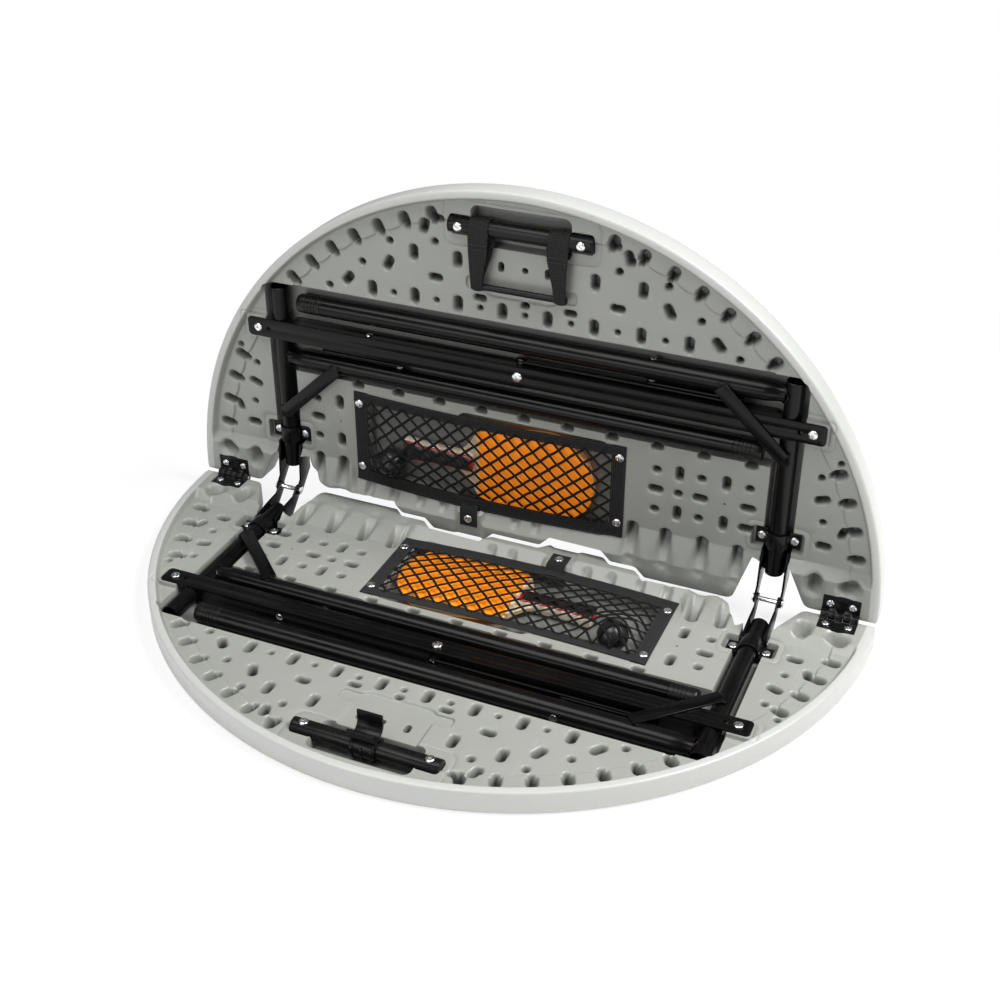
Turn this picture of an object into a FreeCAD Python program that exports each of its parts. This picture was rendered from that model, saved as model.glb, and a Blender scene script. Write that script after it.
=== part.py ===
import FreeCAD, Part
import math
import os
from FreeCAD import Vector

# Driving sizes in millimetres
table_diameter = 914.0
table_thickness = 31.0
hinge_rise = 2.0
edge_round = 6.0
lip_width = 9.0
lip_round = 2.5
ring_width = 24.0
ring_depth = 9.0
panel_depth = 11.5
channel_depth = 27.7
tray_depth = 26.0
edge_gap = 2.4
tongue = 12.0
tongue_ramp = 12.0
tongue_places = (172.0, 127.0, 44.0)
band_width = 24.0
band_depth = 2.5
play = 0.3
running_fit = 0.06

# Legs
rail_place = 327.5
rail_depth = 15.0
rail_diameter = 22.0
rail_start = 30.0
rail_end = 286.0
leg_diameter = 24.5
tube_wall = 1.5
cap_length = 34.0
leg_end = 300.0
inner_leg_place = 190.0
outer_leg_place = 268.0
leg_pivot = 165.0
brace_drop = 1.5
brace_width = 14.0
brace_thick = 3.0
brace_pin_diameter = 8.0
gusset_width = 17.0
gusset_reach = 82.0
gusset_rise = 76.0
gusset_thick = 2.4
gusset_lift = 13.2

# Crossbar
bar_place = 230.0
bar_width = 25.0
bar_top = 2.1
bar_sheet = 1.8
bar_drop = 24.0
tab_reach = 370.0
tab_corner = 5.0
tab_screw = 355.0
rivet_place = 202.0
rivet_level = 12.0

# Saddle clamps and link brackets
clamp_place = 77.5
clamp_width = 22.0
clamp_screw_offset = 19.4
clamp_seat = 20.0
clamp_thick = 2.5
link_sheet = 2.5
link_pin_diameter = 6.0
link_eye = 6.5
link_gap_lower = 11.3
link_gap_upper = 14.1
notch_inner = 282.0
notch_outer = 371.0
notch_depth = 48.0

# Plastic hinges
leaf_place = 413.5
leaf_width = 45.0
leaf_reach = 26.0
leaf_seat = 6.5
leaf_thick = 5.0
knuckle_radius = 5.5
hinge_pin_diameter = 4.0
knuckles = 5
leaf_screw_offset = 13.2
leaf_screw_place = 14.0

# Bats, balls and the pockets made to hold them
bat_length = 256.0
bat_gap_lower = 5.0
bat_gap_upper = 21.0
ball_diameter = 38.0
ball_bay = 67.0
ball_gap = 13.5
pocket_shift = 45.0
pocket_near = 32.0
pocket_far = 161.0
pocket_strip_end = 19.0
pocket_strip_near = 18.0
pocket_strip_far = 11.0
webbing = 1.5
mesh_thick = 1.6
mesh_crown = 8.0
mesh_pitch = 22.2
mesh_strand = 2.8
tab_shift = 66.0
tab_width = 24.0
blade_width = 126.0
rubber_length = 156.0
throat_length = 27.0
grip_start = 4.0
bat_place = 91.0
bat_depth = 16.2
blade_thick = 4.8
rubber_thick = 1.8
handle_thick = 19.0
handle_width = 28.0
ball_lower = 126.6
ball_upper = 69.2

# Carry handle parts
grip_inset = 50.0
grip_depth = 11.0
grip_diameter = 20.0
grip_length = 176.0
grip_screw = 75.0
strap_width = 25.0
strap_place = 49.0
strap_drop = 70.0
strap_thick = 1.5
rod_diameter = 8.0
rod_inset = 4.0
clip_width = 30.0
clip_wall = 3.0
clip_rise = 11.0

# Screws
head_diameter = 11.0
head_height = 2.6
shank_diameter = 4.0
shank_length = 12.0

radius = table_diameter / 2
grip_place = radius - grip_inset
pocket_half = (bat_gap_lower + bat_length + ball_bay) / 2 + pocket_strip_end
pocket_start = pocket_shift - pocket_half + pocket_strip_end
pocket_end = pocket_shift + pocket_half - pocket_strip_end
bat_tip_lower = pocket_start + bat_gap_lower
bat_tip_upper = pocket_start + bat_gap_upper
ball_place = pocket_end - ball_gap - ball_diameter / 2
fold_y = (radius - table_thickness - hinge_rise) / 2
up = Vector(0, 0, 1)


# Shapes are drawn on the lower half: u along the fold, v away from it, h above the lip
def at(u, v, h):
    return Vector(u, -v, h)


def slab(u0, u1, v0, v1, h0, h1):
    return Part.makeBox(u1 - u0, v1 - v0, h1 - h0, Vector(u0, -v1, h0))


def rod_u(u0, u1, v, h, size):
    return Part.makeCylinder(size, u1 - u0, at(u0, v, h), Vector(1, 0, 0))


def rod_v(v0, v1, u, h, size):
    return Part.makeCylinder(size, v1 - v0, at(u, v0, h), Vector(0, -1, 0))


def rod_h(u, v, h0, h1, size):
    return Part.makeCylinder(size, h1 - h0, at(u, v, h0), up)


def plate(points, h0, h1):
    corners = [at(u, v, h0) for u, v in points]
    outline = Part.makePolygon(corners + corners[:1])
    return Part.Face(outline).extrude(Vector(0, 0, h1 - h0))


def section(points, u0, u1):
    corners = [at(u0, v, h) for v, h in points]
    outline = Part.makePolygon(corners + corners[:1])
    return Part.Face(outline).extrude(Vector(u1 - u0, 0, 0))


def joined(shapes):
    return shapes[0].fuse(shapes[1:]).removeSplitter() if len(shapes) > 1 else shapes[0]


def side(shape):
    return shape.mirror(Vector(0, 0, 0), Vector(1, 0, 0))


# Places of a finished shape on the two halves
def on_lower(shape):
    placed = shape.copy()
    placed.translate(Vector(0, fold_y, table_thickness))
    return placed


def raised(shape):
    placed = on_lower(shape)
    axis = Vector(0, fold_y, table_thickness + hinge_rise)
    placed.rotate(axis, Vector(1, 0, 0), 90)
    return placed


def on_upper_turned(shape):
    placed = shape.copy()
    placed.rotate(Vector(0, 0, 0), up, 180)
    return raised(placed)


def on_upper_mirrored(shape):
    return raised(shape.mirror(Vector(0, 0, 0), Vector(0, 1, 0)))


def save(name, *shapes):
    solids = []
    for shape in shapes:
        solids += shape.Solids
    Part.makeCompound(solids).exportStep(f"parts/{name}.step")


def save_one(name, shape):
    shape.Solids[0].exportStep(f"parts/{name}.step")


# Tabletop
def fold_edge():
    first, second, third = tongue_places
    steps = [(-notch_inner, -tongue), (-first, -tongue), (tongue_ramp - first, 0), (-second, 0)]
    steps += [(tongue_ramp - second, tongue), (-third, tongue), (tongue_ramp - third, 0)]
    steps += [(-u, -v) for u, v in reversed(steps)]
    return [(u, v + edge_gap / 2) for u, v in steps]


def half_outline():
    wide = radius + 10
    ends = [(-wide, edge_gap / 2), (-notch_outer, edge_gap / 2)]
    far = [(notch_outer, edge_gap / 2), (wide, edge_gap / 2), (wide, wide), (-wide, wide)]
    left = [(-notch_outer + 22, notch_depth), (-notch_inner - 18, notch_depth)]
    right = [(-u, v) for u, v in reversed(left)]
    return ends + left + fold_edge() + right + far


def disc():
    t = table_thickness
    r = radius
    e = edge_round
    s = lip_round
    c = 1 - math.sqrt(0.5)
    low = Part.Arc(Vector(r - e, 0, -t), Vector(r - e * c, 0, -t + e * c), Vector(r, 0, -t + e))
    top = Part.Arc(Vector(r, 0, -s), Vector(r - s * c, 0, -s * c), Vector(r - s, 0, 0))
    edges = [
        Part.makeLine(Vector(0, 0, -t), Vector(r - e, 0, -t)),
        low.toShape(),
        Part.makeLine(Vector(r, 0, -t + e), Vector(r, 0, -s)),
        top.toShape(),
        Part.makeLine(Vector(r - s, 0, 0), Vector(0, 0, 0)),
        Part.makeLine(Vector(0, 0, 0), Vector(0, 0, -t)),
    ]
    return Part.Face(Part.Wire(edges)).revolve(Vector(0, 0, 0), up, 360)


def underside_recess():
    inner = radius - lip_width
    wall = ring_depth * 0.6
    ring = Part.makeCone(inner - wall, inner, ring_depth, Vector(0, 0, -ring_depth), up)
    panel = Part.makeCylinder(radius - lip_width - ring_width, panel_depth, Vector(0, 0, -panel_depth))
    hollow = ring.fuse(panel)
    hollow = hollow.cut(slab(-radius, radius, -radius, band_width, -40, 5))
    for s in (-1, 1):
        u0, u1 = sorted((s * (notch_outer - 26), s * radius))
        hollow = hollow.cut(slab(u0, u1, 0, 58, -40, 5))
    return hollow


def dimple(u, v, turn, length, depth, floor):
    size = 7.0
    top = Part.makeCone(size * 0.55, size, depth, at(0, 0, floor - depth), up)
    shape = top
    if length > 0:
        ends = []
        for s in (-1, 1):
            end = top.copy()
            end.translate(Vector(s * length / 2, 0, 0))
            ends.append(end)
        low = size * 0.55
        bar = [(-low, floor - depth), (low, floor - depth), (size, floor), (-size, floor)]
        shape = joined(ends + [section(bar, -length / 2, length / 2)])
    shape.rotate(Vector(0, 0, 0), up, turn)
    shape.translate(at(u, v, 0))
    return shape


def dimple_field():
    pockets = []
    depth = 9.0
    for k in range(15, 50, 5):
        for s in (-1, 1):
            a = math.radians(s * k)
            turn = -90 + s * k
            pockets.append(dimple(424 * math.sin(a), 424 * math.cos(a), turn, 20, depth, -ring_depth))
    for k in range(65, 85, 5):
        for s in (-1, 1):
            a = math.radians(s * k)
            pockets.append(dimple(422 * math.sin(a), 422 * math.cos(a), -90 + s * k, 16, depth, -ring_depth))
    for row in range(2):
        for k in range(-3, 4):
            if row and abs(k) < 2:
                continue
            place = 308 + row * 56
            pockets.append(dimple(57 * k + 28 - 28 * row, place, 90, 9, depth, -panel_depth))
    for k in (-3, -2, -1, 1, 2, 3):
        pockets.append(dimple(57 * k - 10, 335, 0, 9, depth, -panel_depth))
    for k in range(3):
        place = 82 + 27 * k
        for u in (-288, -259, -230, -201, -172, 261, 290):
            turn = 90 * ((u // 29 + k) % 2)
            pockets.append(dimple(u, place, turn, 8, depth, -panel_depth))
        for s in (-1, 1):
            pockets.append(dimple(s * 376, place + 10, 0, 8, depth, -panel_depth))
    for u in (-256, -216, -168, 250):
        pockets.append(dimple(u, 38, 90, 26, 9, -band_depth))
    for s in (-1, 1):
        pockets.append(dimple(s * 384, 38, 90, 10, 12, 0))
        pockets.append(dimple(s * 425, 42, 45, 10, 12, 0))
    return pockets


def legs_well():
    v0 = inner_leg_place - 18
    v1 = rail_end + 7
    half = rail_place + 17
    cut = 5
    points = [(-half, v0), (half, v0), (half, v1 - cut), (half - cut, v1), (-half + cut, v1), (-half, v1 - cut)]
    return plate(points, -channel_depth, 1)


def tray():
    half = blade_width / 2 + 1.0
    blade_end = bat_tip_upper + rubber_length + throat_length
    wide = slab(pocket_start, blade_end, bat_place - half, pocket_far + 1, -tray_depth, 1)
    rest = slab(blade_end - 5, pocket_end, pocket_near + 10, pocket_far - 9, -tray_depth, 1)
    return wide.fuse(rest)


def screw_places():
    places = []
    for s in (-1, 1):
        for t in (-1, 1):
            places.append((s * rail_place + t * clamp_screw_offset, clamp_place, clamp_thick - clamp_seat))
            places.append((s * leaf_place + t * leaf_screw_offset, leaf_screw_place, leaf_thick - leaf_seat))
        places.append((s * tab_screw, bar_place, -bar_top))
        places.append((s * grip_screw, grip_place, grip_flat()))
    return places


def pocket_screw_places():
    places = []
    for s in (-1, 1):
        u = pocket_shift + s * (pocket_half - 8)
        places.append((u, pocket_near + 21, webbing - panel_depth))
        places.append((u, pocket_far - 16.5, webbing - panel_depth))
    places.append((tab_shift, 14.5, webbing - band_depth))
    return places


def grip_flat():
    return grip_diameter / 2 - grip_depth - 1.6


def screw(u, v, h):
    head = rod_h(u, v, h, h + head_height * 0.55, head_diameter / 2)
    base = at(u, v, h + head_height * 0.55)
    dome = Part.makeCone(head_diameter / 2, head_diameter * 0.3, head_height * 0.45, base, up)
    slot = slab(u - 2.6, u + 2.6, v - 0.6, v + 0.6, h + head_height - 1.4, h + head_height + 1)
    cross = slot.copy()
    cross.rotate(at(u, v, 0), up, 90)
    shank = rod_h(u, v, h - shank_length, h, shank_diameter / 2)
    return joined([head, dome, shank]).cut(slot).cut(cross)


def screw_holes(places):
    size = shank_diameter / 2 + running_fit
    return [rod_h(u, v, h - shank_length - 0.5, h + 3, size) for u, v, h in places]


def grip_hollow():
    rod_place = grip_place - strap_drop
    groove = slab(-70, 70, rod_place - 9, rod_place + 9, -panel_depth - 3, 1)
    return slab(-62, 62, grip_place - 24, grip_place + 27, -tray_depth, 1).fuse(groove)


def grip_pads():
    pads = []
    for s in (-1, 1):
        u0, u1 = sorted((s * 61, s * (grip_length / 2 + 1)))
        pads.append(slab(u0, u1, grip_place - 13, grip_place + 13, -grip_pad_depth(), 1))
    return pads


def grip_pad_depth():
    return grip_depth + grip_diameter / 2 - 4


def moulding():
    body = disc().common(plate(half_outline(), -table_thickness - 1, 5))
    hollow = underside_recess()
    for s in (-1, 1):
        u0, u1 = sorted((s * (rail_place + 13), s * (tab_reach + 4)))
        hollow = hollow.cut(slab(u0, u1, bar_place - 16, bar_place + 16, -40, -bar_top - bar_sheet))
    cuts = [legs_well(), tray(), grip_hollow()] + grip_pads() + dimple_field()
    cuts.append(slab(-notch_inner + 1, notch_inner - 1, -tongue - 5, band_width + 1, -band_depth, 1))
    for s in (-1, 1):
        rail = s * rail_place
        cuts.append(slab(rail - 17, rail + 17, 40, inner_leg_place, -channel_depth, 1))
        cuts.append(slab(rail - 32, rail + 32, clamp_place - 15, clamp_place + 15, -clamp_seat, 1))
        leaf = s * leaf_place
        half = leaf_width / 2 + play
        cuts.append(slab(leaf - half, leaf + half, -5, leaf_reach + play, -leaf_seat, 1))
    cuts += screw_holes(screw_places() + pocket_screw_places())
    body = body.cut(hollow)
    return body.cut(cuts)


# Crossbar
def crossbar():
    half = bar_width / 2
    top = -bar_top
    under = top - bar_sheet
    web = slab(-tab_reach, tab_reach, bar_place - half, bar_place + half, under, top)
    shapes = [web.makeFillet(tab_corner, [e for e in web.Edges if e.BoundBox.ZLength > bar_sheet / 2])]
    for s in (-1, 1):
        v = bar_place + s * (half - bar_sheet / 2)
        shapes.append(slab(-rail_place, rail_place, v - bar_sheet / 2, v + bar_sheet / 2, -bar_drop, under))
    shape = joined(shapes)
    for s in (-1, 1):
        shape = shape.cut(rod_v(0, radius, s * rail_place, -rail_depth, rail_diameter / 2 + running_fit))
        u0, u1 = sorted((s * (rail_place - 18), s * (rail_place + 1)))
        shape = shape.cut(slab(u0, u1, 0, radius, -bar_drop - 1, -rail_depth))
    pin = rod_v(0, radius, 0, -brace_level(), brace_pin_diameter / 2 + running_fit)
    shape = shape.cut(pin)
    holes = screw_holes([(s * tab_screw, bar_place, top) for s in (-1, 1)])
    holes.append(rod_h(0, bar_place, -9, 1, 2.5 + running_fit))
    holes.append(rod_v(bar_place, radius, -rivet_place, -rivet_level, 2.5 + running_fit))
    holes += [rod_h(s * (rail_place + 12.5), bar_place, -9, 1, 3) for s in (-1, 1)]
    return shape.cut(holes)


def crossbar_bolt():
    top = -bar_top
    under = top - bar_sheet
    bolt = rod_h(0, bar_place, top, top + head_height, 6.5)
    shank = rod_h(0, bar_place, under - 5, top, 2.5)
    nut = rod_h(0, bar_place, under - 4, under, 4.6)
    return joined([bolt, shank, nut])


def crossbar_rivet():
    face = bar_place + bar_width / 2
    head = rod_v(face, face + 1.8, -rivet_place, -rivet_level, 4.5)
    shank = rod_v(face - bar_sheet, face, -rivet_place, -rivet_level, 2.5)
    return head.fuse(shank)


# Leg frame drawn folded on the left, foot towards the right, then mirrored for the other side
def rail_tube():
    outer = rod_v(rail_start, rail_end, -rail_place, -rail_depth, rail_diameter / 2)
    bore = rod_v(rail_start - 1, rail_end + 1, -rail_place, -rail_depth, rail_diameter / 2 - tube_wall)
    return outer.cut(bore)


def leg_tube(v):
    waist = rail_diameter - 2
    along = Vector(1, 0, 0)
    start = -rail_place
    neck = 34.0
    end = leg_end - cap_length
    outer = rod_u(start, start + neck * 0.4, v, -rail_depth, waist / 2)
    flare = Part.makeCone(waist / 2, leg_diameter / 2, neck * 0.6, at(start + neck * 0.4, v, -rail_depth), along)
    main = rod_u(start + neck, end, v, -rail_depth, leg_diameter / 2)
    shape = joined([outer, flare, main])
    bore = rod_u(start, end + 1, v, -rail_depth, waist / 2 - tube_wall)
    shape = shape.cut(bore)
    shape = shape.cut(rod_v(0, radius, start, -rail_depth, rail_diameter / 2))
    pin = rod_v(0, radius, leg_pivot - rail_place, -brace_level(), brace_pin_diameter / 2 - 1 + running_fit)
    return shape.cut(pin)


def foot_cap(v):
    start = leg_end - cap_length
    cup = rod_u(start, leg_end, v, -rail_depth, leg_diameter / 2)
    shapes = [cup]
    for k in range(4):
        groove = rod_u(start + 6 + 5 * k, start + 8 + 5 * k, v, -rail_depth, leg_diameter)
        core = rod_u(start, leg_end, v, -rail_depth, leg_diameter / 2 - 0.7)
        shapes.append(groove.cut(core))
    return shapes[0].cut(shapes[1:])


def gusset(v, rail_v):
    along = Vector(gusset_reach, v - rail_v, 0)
    normal = Vector(-along.y, along.x, 0)
    normal.normalize()
    normal = normal * (gusset_width / 2)
    start = (-rail_place + 2, rail_v)
    end = (-rail_place + gusset_reach, v)
    points = [(start[0] + normal.x, start[1] + normal.y), (end[0] + normal.x, end[1] + normal.y)]
    points += [(end[0] - normal.x, end[1] - normal.y), (start[0] - normal.x, start[1] - normal.y)]
    low = gusset_lift - rail_depth
    strap = plate(points, low, low + gusset_thick)
    weld_rail = slab(-rail_place - 5, -rail_place + 5, rail_v - 8, rail_v + 8, -rail_depth + 9, low)
    weld_leg = slab(end[0] - 11, end[0] + 3, v - 5, v + 5, -rail_depth + 10, low)
    shape = joined([strap, weld_rail, weld_leg])
    shape = shape.cut(rod_v(0, radius, -rail_place, -rail_depth, rail_diameter / 2))
    return shape.cut(rod_u(-rail_place, leg_end, v, -rail_depth, leg_diameter / 2))


# Braces
def brace_level():
    return rail_depth + brace_drop


def brace_lengths():
    deployed = math.hypot(rail_place - brace_drop, leg_pivot + brace_drop)
    folded = rail_place - leg_pivot
    return (deployed + folded) / 2, (deployed - folded) / 2


def link(u0, u1, v0, v1):
    half = brace_width / 2
    h = -brace_level()
    body = slab(u0, u1, v0, v1, h - half, h + half)
    return joined([body, rod_v(v0, v1, u0, h, half), rod_v(v0, v1, u1, h, half)])


def brace_planes(leg_v):
    sign = 1 if leg_v > bar_place else -1
    start = bar_place + sign * (bar_width / 2 + 2.5)
    middle = start + sign * brace_thick
    far = middle + sign * 1.6
    end = far + sign * brace_thick
    return sorted((start, middle)), sorted((far, end))


def long_link(leg_v):
    length = brace_lengths()[0]
    near = brace_planes(leg_v)[0]
    shape = link(-length, 0, near[0], near[1])
    sign = 1 if leg_v > bar_place else -1
    face = near[0] if sign > 0 else near[1]
    stud = sorted((face, face - sign * 1.2))
    shape = shape.fuse(rod_v(stud[0], stud[1], -length, -brace_level(), 5))
    return shape.cut(rod_v(0, radius, 0, -brace_level(), brace_pin_diameter / 2 + running_fit))


def short_link(leg_v):
    length, short = brace_lengths()
    planes = brace_planes(leg_v)
    shape = link(-length, -length + short, planes[1][0], planes[1][1])
    pivot = leg_pivot - rail_place
    return shape.cut(rod_v(0, radius, pivot, -brace_level(), brace_pin_diameter / 2 - 1 + running_fit))


def leg_pin(leg_v):
    sign = 1 if leg_v > bar_place else -1
    link_faces = brace_planes(leg_v)[1]
    near, far = (link_faces[0], link_faces[1]) if sign > 0 else (link_faces[1], link_faces[0])
    surface = leg_v - sign * leg_diameter / 2
    outside = leg_v + sign * (leg_diameter / 2 + 0.1)
    size = brace_pin_diameter / 2
    stages = [
        (near - sign * 0.1, outside, size - 1),
        (near - sign * 0.9, near - sign * 0.1, size + 0.5),
        (far + sign * 0.1, surface - sign * 0.9, size + 1.5),
        (outside, outside + sign * 1.5, size + 1),
    ]
    shapes = []
    for start, end, stage in stages:
        v0, v1 = sorted((start, end))
        shapes.append(rod_v(v0, v1, leg_pivot - rail_place, -brace_level(), stage))
    return joined(shapes)


def brace_pin():
    h = -brace_level()
    size = brace_pin_diameter / 2
    reach = bar_width / 2 + 2.5 + brace_thick
    shapes = [rod_v(bar_place - reach - 0.2, bar_place + reach + 0.2, 0, h, size)]
    for s in (-1, 1):
        for near, far in ((bar_width / 2 + 0.1, bar_width / 2 + 2.3), (reach + 0.2, reach + 1.2)):
            v0, v1 = sorted((bar_place + s * near, bar_place + s * far))
            shapes.append(rod_v(v0, v1, 0, h, size + 2))
    return joined(shapes)


# Saddle clamp and link bracket
def saddle(u):
    v0 = clamp_place - clamp_width / 2
    v1 = clamp_place + clamp_width / 2
    inner = rail_diameter / 2 + running_fit
    ring = rod_v(v0, v1, u, -rail_depth, inner + clamp_thick)
    ring = ring.cut(slab(u - 40, u + 40, v0 - 1, v1 + 1, -60, -clamp_seat))
    foot = slab(u - 27, u + 27, v0, v1, -clamp_seat, -clamp_seat + clamp_thick)
    shape = joined([ring, foot])
    shape = shape.cut(rod_v(0, radius, u, -rail_depth, inner))
    shape = shape.cut(slab(u - inner, u + inner, v0 - 1, v1 + 1, -60, -rail_depth))
    places = [(u + s * clamp_screw_offset, clamp_place, clamp_thick - clamp_seat) for s in (-1, 1)]
    return shape.cut(screw_holes(places))


def link_bracket(u, inner_gap):
    outline = [(-5.5, 0.5), (-3, -5), (20, -channel_depth), (64, -channel_depth)]
    outline += [(64, -8), (40, -4), (14, -2), (5.5, 5.5)]
    shapes = []
    for s in (-1, 1):
        u0, u1 = sorted((u + s * inner_gap, u + s * (inner_gap + link_sheet)))
        shapes.append(section(outline, u0, u1))
        shapes.append(rod_u(u0, u1, 0, hinge_rise, link_eye))
    reach = inner_gap + link_sheet
    shapes.append(slab(u - reach, u + reach, 24, 64, -channel_depth, -channel_depth + 1.5))
    size = link_pin_diameter / 2 + running_fit
    return joined(shapes).cut(rod_u(u - 40, u + 40, 0, hinge_rise, size))


def link_pin(u):
    reach = link_gap_upper + link_sheet + 0.1
    size = link_pin_diameter / 2
    shapes = [rod_u(u - reach, u + reach, 0, hinge_rise, size)]
    shapes.append(rod_u(u - reach - 2, u - reach, 0, hinge_rise, size + 2))
    shapes.append(rod_u(u + reach, u + reach + 2, 0, hinge_rise, size + 2))
    return joined(shapes)


# Plastic hinge
def hinge_leaf(u, own):
    start = u - leaf_width / 2
    step = leaf_width / knuckles
    low = -leaf_seat
    top = leaf_thick - leaf_seat
    shapes = [slab(start, start + leaf_width, 1.5, leaf_reach, low, top)]
    cuts = [rod_u(start - 1, start + leaf_width + 1, 0, hinge_rise, hinge_pin_diameter / 2 + running_fit)]
    for k in range(knuckles):
        u0 = start + k * step
        if k % 2 == own:
            barrel = rod_u(u0 + 0.25, u0 + step - 0.25, 0, hinge_rise, knuckle_radius)
            foot = [(1.5, low), (8, low), (8, top), (knuckle_radius - 0.2, hinge_rise), (1.5, hinge_rise)]
            shapes += [barrel, section(foot, u0 + 0.25, u0 + step - 0.25)]
        else:
            cuts.append(rod_u(u0 - 0.25, u0 + step + 0.25, 0, hinge_rise, knuckle_radius + 0.4))
    cuts += screw_holes([(u + s * leaf_screw_offset, leaf_screw_place, top) for s in (-1, 1)])
    return joined(shapes).cut(cuts)


def hinge_pin(u):
    half = leaf_width / 2 - 0.3
    return rod_u(u - half, u + half, 0, hinge_rise, hinge_pin_diameter / 2)


# Mesh pocket
def pocket_edges():
    return pocket_start, pocket_end, pocket_near + pocket_strip_near, pocket_far - pocket_strip_far


def crown(low):
    u0, u1, v0, v1 = pocket_edges()
    middle = (v0 + v1) / 2
    edges = []
    for h in (low, low + mesh_thick):
        arc = Part.Arc(at(u0, v0, h), at(u0, middle, h + mesh_crown), at(u0, v1, h))
        edges.append(arc.toShape())
    edges.append(Part.makeLine(at(u0, v0, low), at(u0, v0, low + mesh_thick)))
    edges.append(Part.makeLine(at(u0, v1, low), at(u0, v1, low + mesh_thick)))
    wire = Part.Wire(Part.__sortEdges__(edges))
    return Part.Face(wire).extrude(Vector(u1 - u0, 0, 0))


def mesh(ball_v):
    u0, u1, v0, v1 = pocket_edges()
    half = mesh_pitch / 2
    open_half = half - mesh_strand * math.sqrt(0.5)
    window = slab(u0 + 1.5, u1 - 1.5, v0 + 1.5, v1 - 1.5, -20, 5)
    holes = []
    across = math.ceil((u1 - u0) / half)
    along = math.ceil((v1 - v0) / half)
    for i in range(across + 1):
        for j in range(along + 1):
            u = u0 + i * half
            v = v0 + 6 + j * half
            off_ball = math.hypot(u - ball_place, v - ball_v) > ball_diameter / 2 + half
            if (i + j) % 2 == 0 and off_ball:
                points = [(u - open_half, v), (u, v - open_half), (u + open_half, v), (u, v + open_half)]
                holes.append(plate(points, -18, 3).common(window))
    holes.append(rod_h(ball_place, ball_v, -18, 3, ball_diameter / 2 + 1.2))
    holes = [hole for hole in holes if hole.Volume > 300]
    return crown(-panel_depth).cut(holes)


def pocket_border():
    low = -panel_depth
    high = low + webbing
    u0 = pocket_shift - pocket_half
    u1 = pocket_shift + pocket_half
    frame = slab(u0, u1, pocket_near, pocket_far, low, high)
    inner = pocket_edges()
    frame = frame.cut(slab(inner[0], inner[1], inner[2], inner[3], low - 1, high + 1))
    band = webbing - band_depth
    outline = [(pocket_near + 4, low), (pocket_near + 4, high), (pocket_near + 1, high)]
    outline += [(band_width + 1.6, band), (3, band), (3, -band_depth), (band_width + 0.4, -band_depth)]
    outline += [(pocket_near - 1, low)]
    tab = section(outline, tab_shift - tab_width / 2, tab_shift + tab_width / 2)
    shape = frame.fuse(tab).removeSplitter()
    return shape.cut(screw_holes(pocket_screw_places()))


# Bat and ball
def bat_outline(tip, grown):
    r = blade_width / 2
    v = bat_place
    end = tip + rubber_length
    throat = end + throat_length
    waist = handle_width / 2 - 1
    points = {}
    for s in (-1, 1):
        points[s] = [
            at(tip + r, v + s * r, 0),
            at(tip + 1.75 * r, v + s * 0.91 * r, 0),
            at(end, v + s * 0.74 * r, 0),
            at(throat, v + s * waist, 0),
            at(tip + bat_length - 3, v + s * waist, 0),
        ]
    edges = [Part.Arc(points[-1][0], at(tip, v, 0), points[1][0]).toShape()]
    last = 5 if grown else 3
    for s in (-1, 1):
        edges.append(Part.Arc(points[s][0], points[s][1], points[s][2]).toShape())
        for k in range(3, last):
            edges.append(Part.makeLine(points[s][k - 1], points[s][k]))
    edges.append(Part.makeLine(points[-1][last - 1], points[1][last - 1]))
    return Part.Face(Part.Wire(Part.__sortEdges__(edges)))


def bat_blade(tip):
    face = bat_outline(tip, True)
    shape = face.extrude(Vector(0, 0, blade_thick))
    shape.translate(Vector(0, 0, -bat_depth - blade_thick / 2))
    return shape


def bat_rubbers(tip):
    face = bat_outline(tip, False)
    sheets = []
    for h in (-bat_depth - blade_thick / 2 - rubber_thick, -bat_depth + blade_thick / 2):
        sheet = face.extrude(Vector(0, 0, rubber_thick))
        sheet.translate(Vector(0, 0, h))
        sheets.append(sheet)
    return sheets


def bat_handle(tip):
    start = tip + rubber_length + grip_start
    end = tip + bat_length
    half = handle_width / 2
    v = bat_place
    points = [(start, v - half), (end - 40, v - half), (end - 4, v - half - 2.5), (end, v - half + 1)]
    points += [(end, v + half - 1), (end - 4, v + half + 2.5), (end - 40, v + half), (start, v + half)]
    shape = plate(points, -bat_depth - handle_thick / 2, -bat_depth + handle_thick / 2)
    long_edges = [e for e in shape.Edges if abs(e.BoundBox.ZLength) < 0.01 and e.BoundBox.XLength > 30]
    shape = shape.makeFillet(6.0, long_edges)
    return shape.cut(bat_blade(tip))


def ball(v):
    return Part.makeSphere(ball_diameter / 2, at(ball_place, v, ball_diameter / 2 - tray_depth))


# Carry handle
def grip_bar():
    half = grip_length / 2
    h = -grip_depth
    bar = rod_u(-half, half, grip_place, h, grip_diameter / 2)
    cuts = []
    for s in (-1, 1):
        u0, u1 = sorted((s * 61.5, s * (half + 1)))
        cuts.append(slab(u0, u1, grip_place - 20, grip_place + 20, -40, -grip_pad_depth()))
        cuts.append(rod_h(s * grip_screw, grip_place, grip_flat(), 5, head_diameter / 2 + 0.5))
    cuts += screw_holes([(s * grip_screw, grip_place, grip_flat()) for s in (-1, 1)])
    return bar.cut(cuts)


def rod_level():
    return grip_depth - grip_diameter / 2 - 0.2 + rod_diameter / 2 + 0.15


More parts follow.
